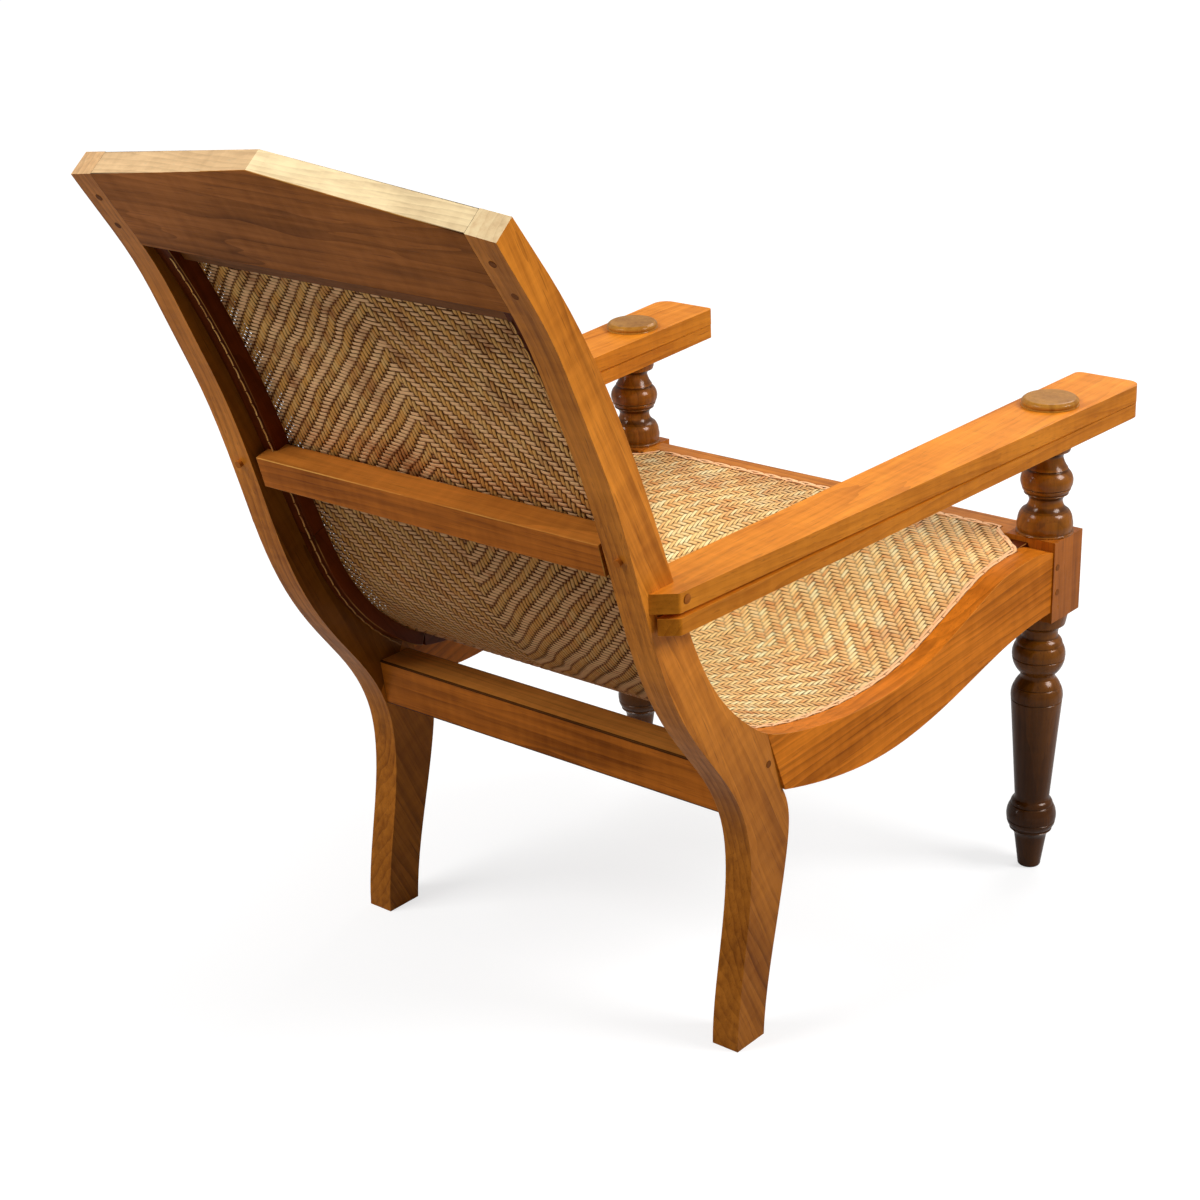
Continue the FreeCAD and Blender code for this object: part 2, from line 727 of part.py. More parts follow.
ARM_FRONT = [(ARM_INNER, ARM_NOSE, 8), (ARM_OUTER, ARM_NOSE, 18)]


def fixed_arm_blank():
    """The fixed arm: its ear runs on outside the post, its end is scribed to the post."""
    ear, inner = size("post_outer"), size("post_outer") - size("post_thickness")
    chamfer, ear_end = 699.0, 718.0
    corners = ARM_FRONT + [(arm_outer(chamfer), chamfer, 5), (ear, ear_end, 0), (ear, ARM_SHOULDER, 0),
                           (inner, ARM_SHOULDER, 0), (inner, ARM_INNER_END, 0)]
    return arm_blank("fixed_arm_blank", corners, "arm_top", "arm_slope", "{arm_thickness}")


def swing_arm_blank():
    """The swing arm: same outline, with a notch that stays clear of the post as it moves."""
    beside_post, before_post = size("post_outer") + 3.5, 656.5
    chamfer, ear_end = 698.0, 713.0
    inner = size("post_outer") - size("post_thickness")
    corners = ARM_FRONT + [(arm_outer(chamfer), chamfer, 6), (beside_post, ear_end, 2),
                           (beside_post, before_post, 3), (inner, before_post, 2), (inner, ARM_INNER_END, 0)]
    return arm_blank("swing_arm_blank", corners, "swing_top", "swing_slope", "{swing_thickness}")


CAP = [
    ("line", (33.6, 0)), ("line", (34, 0.6)), ("line", (33.6, 1.5)), ("line", (32.6, 1.9)),
    ("arc", (33.5, 4.6), (31.6, 7.6)), ("arc", (30.2, 8.7), (28, 9.1)), ("line", (18, 9.2)),
]


def pivot_pin():
    """A turned pin: a round cap on the arm and a shank down into the leg, square to the swing arm."""
    body = new_body("pivot_pin_left")
    radius, length = size("pin_radius"), size("pin_length")
    shank = [("line", (radius - 1, -length)), ("line", (radius, 1 - length)), ("line", (radius, 0))]
    revolve(body, "pin", (0, -length), shank + CAP)
    turn = swing_turn()
    rise = (size("arm_top") - size("swing_top")) / turn.multVec(V(0, 0, 1)).z
    pivot = V(size("leg_x"), size("leg_y"), size("swing_top"))
    body.Placement = FreeCAD.Placement(pivot + turn.multVec(V(0, 0, rise)), turn)
    return body


def swing_bore():
    """Running bore of the swing arm round the pin."""
    axis = swing_turn().multVec(V(0, 0, 1))
    half = 40
    start = V(size("leg_x"), size("leg_y"), size("swing_top")) - axis * half
    return rod("swing_bore", "{pin_radius} + {pin_clearance}", 2 * half, start, axis)


# Pegs and dowels, left side

PEG_PROUD = 0.4     # how far a peg's end stands out of the wood


def middle_rail_peg():
    """Peg driven from behind through the post and the middle rail's tenon."""
    out = bar_turn().multVec(V(0, 1, 0))
    start = at(743.4, 617)
    across, proud = 264.5, 1.5
    return rod("middle_rail_peg", "{peg_radius}", 34, V(across, start.x, start.y) + out * proud, -out)


def seat_rail_peg():
    """Peg through the post's outer face into the side rail's rear tenon."""
    start = at(519, 326)
    face = size("post_outer") + PEG_PROUD
    return rod("seat_rail_peg", "{peg_radius}", 28, V(face, start.x, start.y), -X_AXIS)


def block_pegs():
    """Two pegs through the leg block's outer face into the side rail's front tenon."""
    face = size("leg_x") + size("block_size") / 2 + PEG_PROUD
    pegs = []
    for index, (distance, height) in enumerate(((24.5, 412), (22.5, 380)), start=1):
        start = at(distance, height)
        pegs.append(rod(f"leg_block_peg_{index}", "{peg_radius}", 38, V(face, start.x, start.y), -X_AXIS))
    return pegs


def arm_dowel():
    """Dowel through the fixed arm's ear into the post."""
    distance, height = 688, 572.8
    point = at(distance, height)
    face = arm_outer(distance) + PEG_PROUD
    return rod("arm_dowel", "{dowel_radius}", 42, V(face, point.x, point.y), -X_AXIS)


def build():
    """Makes every piece; the left ones are mirrored for the sitter's right."""
    gables = [gable_cutter(1), gable_cutter(-1)]
    cane = cane_panel()
    pegs = {"crest": crest_pegs(), "middle": middle_rail_peg(), "seat": seat_rail_peg(),
            "block": block_pegs(), "arm": arm_dowel()}
    tenons = {"crest": crest_tenon("crest_tenon"), "middle": middle_rail_tenon("middle_tenon"),
              "stretcher": stretcher_tenon("stretcher_tenon"), "rear": rail_rear_tenon("rail_rear_tenon"),
              "front": rail_front_tenon("rail_front_tenon"), "face": front_rail_tenon("front_rail_tenon")}
    other = {key: mirrored(f"{tenon.Name}_right", tenon) for key, tenon in tenons.items()}
    parts = []

    def pair(left, right_name):
        parts.extend((left, mirrored(right_name, left)))

    post = side_plank("post_blank", post_outline(), "{post_outer} - {post_thickness}", "{post_thickness}")
    pair(cut("back_post_left", post, gables[0], tenons["crest"], tenons["middle"], tenons["stretcher"],
             tenons["rear"], cane, *pegs["crest"], pegs["middle"], pegs["seat"], pegs["arm"]),
         "back_post_right")

    inner = "{post_outer} - {post_thickness}"
    crest = side_plank("crest_blank", crest_outline(), f"-({inner})", f"2 * ({inner})")
    crest = fuse("crest_with_tenons", crest, tenons["crest"], other["crest"])
    crest_peg_group = group("crest_pegs", *pegs["crest"],
                            *(mirrored(f"{peg.Name}_right", peg) for peg in pegs["crest"]))
    parts += [cut("crest_rail", crest, *gables, crest_peg_group), crest_peg_group]

    bar = fuse("bar_with_tenons", middle_rail_blank(), tenons["middle"], other["middle"])
    bar_pegs = group("middle_rail_pegs", pegs["middle"], mirrored("middle_rail_peg_right", pegs["middle"]))
    bar = cut("middle_back_rail", bar, bar_pegs)
    parts += [bar, bar_pegs]

    parts.append(fuse("rear_stretcher", stretcher_blank(), tenons["stretcher"], other["stretcher"]))

    rail = fuse("side_rail_with_tenons", side_rail_blank(), tenons["front"], tenons["rear"])
    pair(cut("side_rail_left", rail, cane, pegs["seat"], *pegs["block"]), "side_rail_right")
    for name, key in (("seat_rail_pegs", "seat"), ("arm_dowels", "arm")):
        parts.append(group(name, pegs[key], mirrored(f"{pegs[key].Name}_right", pegs[key])))
    parts.append(group("leg_block_pegs", *pegs["block"],
                       *(mirrored(f"{peg.Name}_right", peg) for peg in pegs["block"])))

    half = "({leg_x} - {block_size} / 2)"
    front = side_plank("front_rail_blank", front_rail_outline(), f"-{half}", f"2 * {half}")
    front = fuse("front_rail_with_tenons", front, tenons["face"], other["face"])
    parts.append(cut("front_rail", front, cane))

    parts.append(cane)
    pair(cut("upper_ledge_left", upper_ledge_blank(), bar), "upper_ledge_right")
    pair(lower_ledge(), "lower_ledge_right")
    pair(seat_ledge(), "seat_ledge_right")
    pair(corner_brace(), "corner_brace_right")
    parts.append(crest_ledge())

    pin = pivot_pin()
    pair(cut("front_leg_left", leg_blank(), swing_clearance(), tenons["front"], tenons["face"],
             pin, *pegs["block"]), "front_leg_right")
    pair(cut("fixed_arm_left", fixed_arm_blank(), post, pin, pegs["arm"]), "fixed_arm_right")
    pair(cut("swing_arm_left", swing_arm_blank(), swing_bore()), "swing_arm_right")
    pair(pin, "pivot_pin_right")
    return parts


def check(parts):
    """Stops if any object of the document failed or any piece is empty or unsound."""
    for obj in doc.Objects:
        if "Invalid" in obj.State or "Error" in obj.State:
            raise RuntimeError(f"{obj.Label} did not compute: {obj.State}")
    for part in parts:
        shape = part.Shape
        if shape.isNull() or not shape.isValid() or not shape.Solids:
            raise RuntimeError(f"{part.Label} has no sound solid")
        bounds = shape.BoundBox
        print(f"{part.Label}: {len(shape.Solids)} solid, {shape.Volume / 1000:.1f} cm3, "
              f"y {bounds.YMin:.1f} to {bounds.YMax:.1f}, z {bounds.ZMin:.1f} to {bounds.ZMax:.1f}")


PARTS = build()
doc.recompute()
check(PARTS)
os.makedirs("parts", exist_ok=True)
for piece in PARTS:
    piece.Shape.exportStep(f"parts/{piece.Label}.step")
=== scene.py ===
"""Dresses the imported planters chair: eased timber, turned legs, woven cane and studio light.

The frame gives every solid at its place, in metres. The sitter looks along -Y, +X is to the sitter's
left, and the seat line, which the cane follows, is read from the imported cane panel.
"""
import json
import logging
import math
from dataclasses import dataclass, field
from enum import Enum
from functools import partial
from typing import Callable, Dict, Iterable, List, Optional, Sequence, Tuple, Type, Union

import bmesh
import bpy
import numpy as np
from mathutils import Matrix, Vector
from mathutils.bvhtree import BVHTree

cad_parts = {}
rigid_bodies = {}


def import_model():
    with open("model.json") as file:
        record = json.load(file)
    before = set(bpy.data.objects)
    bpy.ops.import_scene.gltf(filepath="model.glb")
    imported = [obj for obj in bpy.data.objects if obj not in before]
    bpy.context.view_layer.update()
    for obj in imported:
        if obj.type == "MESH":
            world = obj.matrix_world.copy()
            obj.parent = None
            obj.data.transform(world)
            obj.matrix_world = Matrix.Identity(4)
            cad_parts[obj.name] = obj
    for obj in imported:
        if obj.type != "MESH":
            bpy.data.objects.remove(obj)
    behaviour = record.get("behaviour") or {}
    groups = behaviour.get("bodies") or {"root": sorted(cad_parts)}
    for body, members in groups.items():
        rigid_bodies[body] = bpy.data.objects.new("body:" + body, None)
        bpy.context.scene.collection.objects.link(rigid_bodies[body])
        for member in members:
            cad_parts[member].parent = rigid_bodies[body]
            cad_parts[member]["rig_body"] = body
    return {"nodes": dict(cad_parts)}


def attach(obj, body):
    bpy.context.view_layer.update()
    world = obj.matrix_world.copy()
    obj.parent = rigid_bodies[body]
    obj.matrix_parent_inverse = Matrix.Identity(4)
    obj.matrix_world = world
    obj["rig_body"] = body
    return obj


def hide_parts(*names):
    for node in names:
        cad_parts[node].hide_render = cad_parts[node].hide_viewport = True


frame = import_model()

LOG = logging.getLogger("planters_chair")
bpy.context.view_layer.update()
MM = 0.001

Socket = bpy.types.NodeSocket
Value = Union[bool, float, Sequence[float], Socket]
Place = Tuple[float, float, float]
Span = Tuple[float, float]

ACROSS = Vector((1, 0, 0))
FORTH = Vector((0, 1, 0))
UPRIGHT = Vector((0, 0, 1))


def srgb(code: str) -> Tuple[float, float, float, float]:
    """Turns a colour as written on screen into the linear values that a shader takes.

    Args:
        code: the colour as a hash and six hexadecimal digits.

    Returns:
        Red, green, blue and a full alpha.
    """
    values = [int(code[place:place + 2], 16) / 255 for place in (1, 3, 5)]
    linear = [v / 12.92 if v <= 0.04045 else ((v + 0.055) / 1.055) ** 2.4 for v in values]
    return (*linear, 1.0)


def placed(name: str, data: bpy.types.ID) -> bpy.types.Object:
    """Puts a mesh, curve, camera or lamp into the scene, at the origin.

    Args:
        name: the object's name.
        data: what it shows.

    Returns:
        The object.
    """
    thing = bpy.data.objects.new(name, data)
    bpy.context.scene.collection.objects.link(thing)
    return thing


def guide_curve(name: str, points: Sequence[Place]) -> bpy.types.Object:
    """Draws a curve that a Geometry Nodes tree can sample.

    Args:
        name: the curve's name.
        points: its corners.

    Returns:
        The curve's object.
    """
    data = bpy.data.curves.new(name, "CURVE")
    data.dimensions = "3D"
    spline = data.splines.new("POLY")
    spline.points.add(len(points) - 1)
    for target, point in zip(spline.points, points):
        target.co = (*point, 1)
    return placed(name, data)


class Wiring:
    """Adds nodes to a tree and links them, so that a material or modifier reads top to bottom."""

    def __init__(self, tree: bpy.types.NodeTree) -> None:
        """Starts on an empty tree."""
        self.tree = tree
        tree.nodes.clear()

    def feed(self, socket: Socket, value: Value) -> None:
        """Links an input to another node's output, or sets it to a constant.

        Args:
            socket: the input.
            value: the output or the constant.
        """
        if isinstance(value, Socket):
            self.tree.links.new(value, socket)
        else:
            socket.default_value = value

    def add(self, kind: str, inputs: Optional[dict] = None, **settings: object) -> bpy.types.Node:
        """Adds one node.

        Args:
            kind: the node's type name.
            inputs: a value or an output socket for each input, by name or number.
            settings: properties of the node itself.

        Returns:
            The new node.
        """
        node = self.tree.nodes.new(kind)
        for name, value in settings.items():
            setattr(node, name, value)
        for key, value in (inputs or {}).items():
            self.feed(node.inputs[key], value)
        return node

    def math(self, operation: str, *values: Value) -> Socket:
        """A Math node's result for numbers or sockets."""
        return self.add("ShaderNodeMath", dict(enumerate(values)), operation=operation).outputs[0]

    def plus(self, one: Value, other: Value) -> Socket:
        """The sum of two numbers."""
        return self.math("ADD", one, other)

    def minus(self, one: Value, other: Value) -> Socket:
        """One number less another."""
        return self.math("SUBTRACT", one, other)

    def times(self, one: Value, other: Value) -> Socket:
        """The product of two numbers."""
        return self.math("MULTIPLY", one, other)

    def scaled(self, value: Value, factor: Value, base: Value) -> Socket:
        """A number times a factor, on top of a base."""
        return self.math("MULTIPLY_ADD", value, factor, base)

    def larger(self, one: Value, other: Value) -> Socket:
        """The larger of two numbers."""
        return self.math("MAXIMUM", one, other)

    def size_of(self, value: Value) -> Socket:
        """A number without its sign."""
        return self.math("ABSOLUTE", value)

    def vector(self, operation: str, *values: Value) -> Socket:
        """A Vector Math node's result, which is a number for a length and otherwise a vector.

        Args:
            operation: what the node does.
            values: its vectors, or for SCALE a vector and a number.

        Returns:
            The result's socket.
        """
        keys = (0, "Scale") if operation == "SCALE" else range(len(values))
        node = self.add("ShaderNodeVectorMath", dict(zip(keys, values)), operation=operation)
        return node.outputs["Value" if operation == "LENGTH" else "Vector"]

    def parts(self, value: Value) -> Sequence[Socket]:
        """The three numbers of a vector."""
        return self.add("ShaderNodeSeparateXYZ", {0: value}).outputs

    def joined(self, x: Value = 0.0, y: Value = 0.0, z: Value = 0.0) -> Socket:
        """A vector made of three numbers."""
        return self.add("ShaderNodeCombineXYZ", {"X": x, "Y": y, "Z": z}).outputs[0]

    def noise(self, where: Value, scale: float, detail: float = 2.0, roughness: float = 0.5) -> Socket:
        """A Noise texture's value."""
        return self.add("ShaderNodeTexNoise", {"Vector": where, "Scale": scale, "Detail": detail,
                                               "Roughness": roughness}).outputs[0]

    def stretched(self, where: Value, stretch: Place, detail: float, roughness: float = 0.5) -> Socket:
        """A Noise texture's value, at its own scale in each direction."""
        return self.noise(self.vector("MULTIPLY", where, stretch), 1.0, detail, roughness)

    def drift(self, where: Value, scale: float, detail: float, reach: Value) -> Socket:
        """A smooth random shift in every direction, up to half the reach each way.

        Args:
            where: the place that the shift belongs to.
            scale: how fast it changes.
            detail: how many finer layers it has.
            reach: how far it goes from end to end.

        Returns:
            The shift's socket, a vector.
        """
        given = {"Vector": where, "Scale": scale, "Detail": detail}
        cloud = self.add("ShaderNodeTexNoise", given).outputs["Color"]
        return self.vector("SCALE", self.vector("SUBTRACT", cloud, (0.5, 0.5, 0.5)), reach)

    def remap(self, value: Value, low: float, high: float, out_low: float = 0.0,
              out_high: float = 1.0) -> Socket:
        """Maps a value's range onto another, clamped."""
        return self.add("ShaderNodeMapRange", {"Value": value, "From Min": low, "From Max": high,
                                               "To Min": out_low, "To Max": out_high}).outputs["Result"]

    def blend(self, share: Value, one: Value, other: Value) -> Socket:
        """Mixes two colours.

        Args:
            share: how much of the other colour shows.
            one: the first colour.
            other: the other colour.

        Returns:
            The mixed colour's socket.
        """
        node = self.add("ShaderNodeMix", data_type="RGBA")
        for key, value in (("Factor", share), ("A", one), ("B", other)):
            self.feed(next(s for s in node.inputs if s.name == key and s.enabled), value)
        return next(s for s in node.outputs if s.enabled)

    def mark(self, name: str) -> Socket:
        """A number that the mesh carries for its finish."""
        return self.add("ShaderNodeAttribute", attribute_name=name).outputs["Fac"]


def surface_tree(name: str) -> Tuple[bpy.types.Material, Wiring]:
    """Starts a new material.

    Args:
        name: the material's name.

    Returns:
        The material and its empty tree.
    """
    material = bpy.data.materials.new(name)
    material.use_nodes = True
    return material, Wiring(material.node_tree)


# Finishes

# How fast each texture of the timber changes per metre, along the grain and across it
FIBRE = (6, 150, 150)
CLOUD = (5, 16, 16)
RIPPLE = (90, 16, 16)
PORE = (26, 620, 620)
STREAK = (3, 60, 60)


@dataclass(frozen=True)
class TimberFinish:
    """Oiled or polished hardwood, figured along the grain of each piece."""

    name: str
    light: str = "#DC8228"
    deep: str = "#96500F"
    vein: str = "#4A2006"
    # colour of the eased arrises: wear, and a painted highlight along them
    arris_wear_and_highlight: str = "#F0B860"
    # colour of the pale tops: unpolished wood, and a painted highlight on them
    bare_and_lit: str = "#FFEAB8"
    # dark of the joints, and of painted shade
    grime_and_shade: str = "#260F03"
    # painted shade: how much darker the wood turns towards the floor, and over which heights
    floor_shade: float = 0.0
    floor_shade_heights: Span = (0.12, 0.62)
    ring: float = 9 * MM
    figure: float = 0.6
    sway: float = 42 * MM
    roughness: float = 0.38
    gloss: float = 0.2
    sheen: str = "#FFA450"
    coat: float = 0.05
    coat_roughness: float = 0.16
    bump: float = 0.15
    bump_depth: float = 0.6 * MM

    def tones(self, tree: Wiring) -> Tuple[Value, Value]:
        """The light and the deep tone, as constants or as sockets."""
        return srgb(self.light), srgb(self.deep)

    def polish(self, tree: Wiring) -> Value:
        """How much polish lies over the wood, as a constant or as a socket."""
        return self.coat

    def rings(self, tree: Wiring, plank: Socket) -> Tuple[Socket, Socket]:
        """Draws the growth rings.

        Args:
            tree: the material's tree.
            plank: the place in the plank, with X along the grain.

        Returns:
            How far across its ring a place lies, and how much of the dark late wood it holds.
        """
        along = tree.vector("MULTIPLY", plank, (0.12, 1, 1))
        swayed = tree.vector("ADD", along, tree.drift(along, 14.0, 3.0, self.sway))
        radius = tree.vector("LENGTH", tree.vector("MULTIPLY", swayed, (0, 1, 1)))
        ring = tree.math("FRACT", tree.math("DIVIDE", radius, self.ring))
        return tree.math("POWER", ring, 1.6), tree.remap(ring, 0.62, 0.95)

    def worn_lit_and_shaded(self, tree: Wiring, colour: Socket, tone: Socket, cloud: Socket, height: Socket) -> Socket:
        """Lays wear, dark joints, painted highlight and painted shade over the wood's colour.

        Args:
            tree: the material's tree.
            colour: the wood's colour.
            tone: how dark its figure is.
            cloud: its broad changes.
            height: height over the floor.

        Returns:
            The colour, with wear, painted highlight and painted shade.
        """
        # Painted highlight: eased arrises turn pale, partly wear and partly painted highlight
        rubbed = tree.times(tree.mark("arris"), tree.remap(cloud, 0.38, 0.62, 0.0, 0.6))
        colour = tree.blend(rubbed, colour, srgb(self.arris_wear_and_highlight))
        # Painted highlight: marked tops turn pale, partly wear and partly painted highlight
        pale = tree.times(tree.mark("rubbed"), tree.remap(tone, 0.1, 0.9, 0.95, 0.55))
        colour = tree.blend(pale, colour, srgb(self.bare_and_lit))
        # Dark joints, and painted shade on the marked faces and hollows and towards the floor
        grime_and_shade = tree.larger(tree.times(tree.mark("seam"), 0.9), tree.times(tree.mark("shade_and_wax"), 0.8))
        grime_and_shade = tree.larger(grime_and_shade, tree.remap(height, *self.floor_shade_heights, self.floor_shade, 0.0))
        return tree.blend(grime_and_shade, colour, srgb(self.grime_and_shade))

    def material(self, label: str, grain: Vector, pith: Vector) -> bpy.types.Material:
        """Builds the material for one piece.

        Args:
            label: the piece's name, part of the material's name.
            grain: direction of the grain, in the shared frame.
            pith: a point of the tree's middle, in metres, which the growth rings go round.

        Returns:
            The material.
        """
        material, tree = surface_tree(f"{self.name}_{label}")
        turn = grain.normalized().rotation_difference(ACROSS)
        place = tree.add("ShaderNodeTexCoord").outputs["Object"]
        plank = tree.add("ShaderNodeMapping", {"Vector": place, "Location": tuple(-(turn @ pith)),
                                               "Rotation": tuple(turn.to_euler())}).outputs[0]
        ring, late = self.rings(tree, plank)
        fibre = tree.stretched(plank, FIBRE, 5.0, 0.65)
        cloud = tree.stretched(plank, CLOUD, 3.0, 0.55)
        pore = tree.remap(tree.stretched(plank, PORE, 2.0), 0.6, 0.74)
        tone = tree.scaled(ring, 0.4 * self.figure, tree.remap(fibre, 0.3, 0.72, 0.0, 0.55))
        tone = tree.plus(tone, tree.remap(cloud, 0.3, 0.72, -0.2, 0.4))
        tone = tree.plus(tone, tree.remap(tree.stretched(plank, RIPPLE, 2.0), 0.3, 0.7, -0.1, 0.1))
        light, deep = self.tones(tree)
        colour = tree.blend(tree.remap(tone, 0.0, 1.0), light, deep)
        streak = tree.remap(tree.stretched(plank, STREAK, 3.0), 0.6, 0.8, 0.0, 0.55)
        line = tree.times(late, tree.remap(cloud, 0.42, 0.66, 0.0, 0.5 * self.figure))
        dark = tree.larger(tree.larger(tree.times(pore, 0.45), streak), line)
        colour = tree.blend(dark, colour, srgb(self.vein))
        colour = self.worn_lit_and_shaded(tree, colour, tone, cloud, tree.parts(place)[2])
        relief = tree.minus(tree.times(fibre, 0.5), pore)
        bump = tree.add("ShaderNodeBump", {"Strength": self.bump, "Distance": self.bump_depth,
                                           "Height": relief})
        rough = tree.remap(tone, 0.0, 1.0, self.roughness - 0.05, self.roughness + 0.08)
        shader = tree.add("ShaderNodeBsdfPrincipled", {
            "Base Color": colour, "Roughness": rough, "Normal": bump.outputs[0],
            "Specular IOR Level": self.gloss, "Specular Tint": srgb(self.sheen),
            "Coat Weight": self.polish(tree), "Coat Roughness": self.coat_roughness})
        tree.add("ShaderNodeOutputMaterial", {"Surface": shader.outputs[0]})
        return material


@dataclass(frozen=True)
class LegFinish(TimberFinish):
    """Darker polish on the turnings; the square block keeps the frame's colour."""

    block_light: str = "#DC7C22"
    block_deep: str = "#9A5010"

    def tones(self, tree: Wiring) -> Tuple[Value, Value]:
        """The two tones, switched by the block's own mark."""
        block = tree.mark("block")
        return tuple(tree.blend(block, srgb(turned), srgb(square)) for turned, square in
                     ((self.light, self.block_light), (self.deep, self.block_deep)))

    def polish(self, tree: Wiring) -> Value:
        """The turnings are polished, the block is only oiled."""
        return tree.times(tree.minus(1.0, tree.mark("block")), self.coat)


@dataclass(frozen=True)
class CaneFinish:
    """Split cane: a glossy golden skin outside, duller and browner on the split side, with painted highlight
    and painted shade on its strands.
    """

    name: str = "woven_cane"
    golden: str = "#FFDA92"
    pale: str = "#FFF6BE"
    tan: str = "#E8A862"
    rosy: str = "#DE9660"
    border: str = "#FABC8C"
    soiled: str = "#B87440"
    split_highlight: str = "#FFCC94"
    split_long: str = "#E0A050"
    split_low: str = "#84420E"
    shadow: str = "#3E1202"
    sheen: str = "#FFC880"
    soiled_front: Span = (-0.42, -0.22)
    soiled_sides: Span = (0.1, 0.26)
    # painted shade: between these heights the split side darkens downwards
    low_shade_heights: Span = (0.34, 0.74)
    bump: float = 0.2
    bump_depth: float = 0.4 * MM

    def skin(self, tree: Wiring, tone: Socket, blush: Socket, speck: Socket, lace: Socket) -> Socket:
        """Colours the outer skin.

        Args:
            tree: the material's tree.
            tone: each place's lightness.
            blush: how rosy it is.
            speck: fine specks.
            lace: one on the border strands.

        Returns:
            The colour.
        """
        colour = tree.blend(tree.remap(tone, 0.24, 0.5), srgb(self.tan), srgb(self.golden))
        colour = tree.blend(tree.remap(tone, 0.54, 0.8), colour, srgb(self.pale))
        colour = tree.blend(tree.times(blush, 0.65), colour, srgb(self.rosy))
        colour = tree.blend(tree.remap(speck, 0.55, 0.8, 0.0, 0.3), colour, srgb(self.tan))
        return tree.blend(tree.times(lace, 0.8), colour, srgb(self.border))

    def split_side(self, tree: Wiring, tone: Socket, blush: Socket, cross: Socket, facing: Socket,
                   stain_and_shade: Socket) -> Socket:
        """Colours the split side, which shows from behind, with painted highlight and painted shade.

        Args:
            tree: the material's tree.
            tone: each place's lightness.
            blush: how rosy it is.
            cross: one on the crosswise strands, which get a painted highlight.
            facing: how far the strand lies out towards the eye; those that lie back get painted shade.
            stain_and_shade: how far it is stained, with painted shade lower down.

        Returns:
            The colour.
        """
        # Painted highlight: the crosswise strands are lighter, as if lit from above
        split = tree.blend(cross, srgb(self.split_long), srgb(self.split_highlight))
        split = tree.blend(tree.times(tree.remap(tone, 0.45, 0.75), 0.3), split, srgb(self.golden))
        split = tree.blend(tree.times(blush, 0.6), split, srgb(self.rosy))
        # Painted shade: strands that lie back from the eye turn darker
        split = tree.blend(tree.remap(facing, 0.1, 0.9, 1.0, 0.0), split, srgb(self.split_low))
        return tree.blend(stain_and_shade, split, srgb(self.split_low))

    def material(self) -> bpy.types.Material:
        """Builds the material, which reads each strand's own shade and side.

        Returns:
            The material.
        """
        material, tree = surface_tree(self.name)
        shade, side, bulge, lace, cross = (
            tree.mark(kind) for kind in ("shade", "outer", "bulge", "lace", "cross"))
        loose = tree.minus(1.0, lace)
        place = tree.add("ShaderNodeTexCoord").outputs["Object"]
        where = tree.parts(place)
        drift = tree.noise(place, 38.0, 2.0, 0.6)
        patch = tree.noise(tree.vector("ADD", place, (3.0, 0, 0)), 22.0, 3.0, 0.7)
        speck = tree.noise(place, 420.0, 3.0, 0.6)
        tone = tree.plus(tree.times(shade, 0.32), tree.times(drift, 0.8))
        tone = tree.minus(tone, tree.times(cross, 0.08))
        blush = tree.times(tree.remap(patch, 0.5, 0.68), tree.remap(shade, 0.35, 0.9, 1.0, 0.25))
        blush = tree.larger(blush, tree.times(cross, 0.35))
        colour = self.skin(tree, tone, blush, speck, lace)
        soil = tree.larger(tree.remap(where[1], *self.soiled_front, 0.75, 0.0),
                           tree.remap(tree.size_of(where[0]), *self.soiled_sides, 0.0, 0.35))
        soil = tree.times(tree.times(soil, loose), tree.remap(patch, 0.35, 0.6, 0.35, 1.0))
        colour = tree.blend(soil, colour, srgb(self.soiled))
        behind = tree.times(tree.remap(side, -0.2, 0.2, 1.0, 0.0), loose)
        facing = tree.times(bulge, tree.remap(side, -0.1, 0.1, -1.0, 1.0))
        # Stains in patches, and painted shade that darkens the split side lower down
        stain_and_shade = tree.larger(tree.remap(patch, 0.5, 0.7, 0.0, 0.6),
                            tree.remap(where[2], *self.low_shade_heights, 0.7, 0.0))
        split = self.split_side(tree, tone, blush, cross, facing, stain_and_shade)
        colour = tree.blend(tree.times(behind, 0.94), colour, split)
        # Painted shade: strands darken where they dip under others and along their flanks
        tucked_shade = tree.times(tree.remap(facing, 0.0, 0.7, 1.0, 0.0),
                            tree.scaled(behind, 0.36, tree.scaled(soil, 0.4, 0.5)))
        outline = tree.scaled(behind, tree.scaled(cross, 0.34, -0.06), tree.scaled(soil, 0.35, 0.58))
        rim = tree.times(tree.remap(tree.size_of(side), 0.08, 0.56, 1.0, 0.0), outline)
        gap_shade = tree.larger(tree.times(tucked_shade, loose), rim)
        colour = tree.blend(gap_shade, colour, srgb(self.shadow))
        bump = tree.add("ShaderNodeBump", {"Strength": self.bump, "Distance": self.bump_depth,
                                           "Height": speck})
        rough = tree.remap(side, -0.2, 0.25, 0.5, 0.4)
        shader = tree.add("ShaderNodeBsdfPrincipled", {
            "Base Color": colour, "Roughness": rough, "Normal": bump.outputs[0],
            "Specular IOR Level": tree.times(tree.scaled(behind, -0.16, 0.28), tree.minus(1.0, gap_shade)),
            "Specular Tint": srgb(self.sheen)})
        tree.add("ShaderNodeOutputMaterial", {"Surface": shader.outputs[0]})
        return material


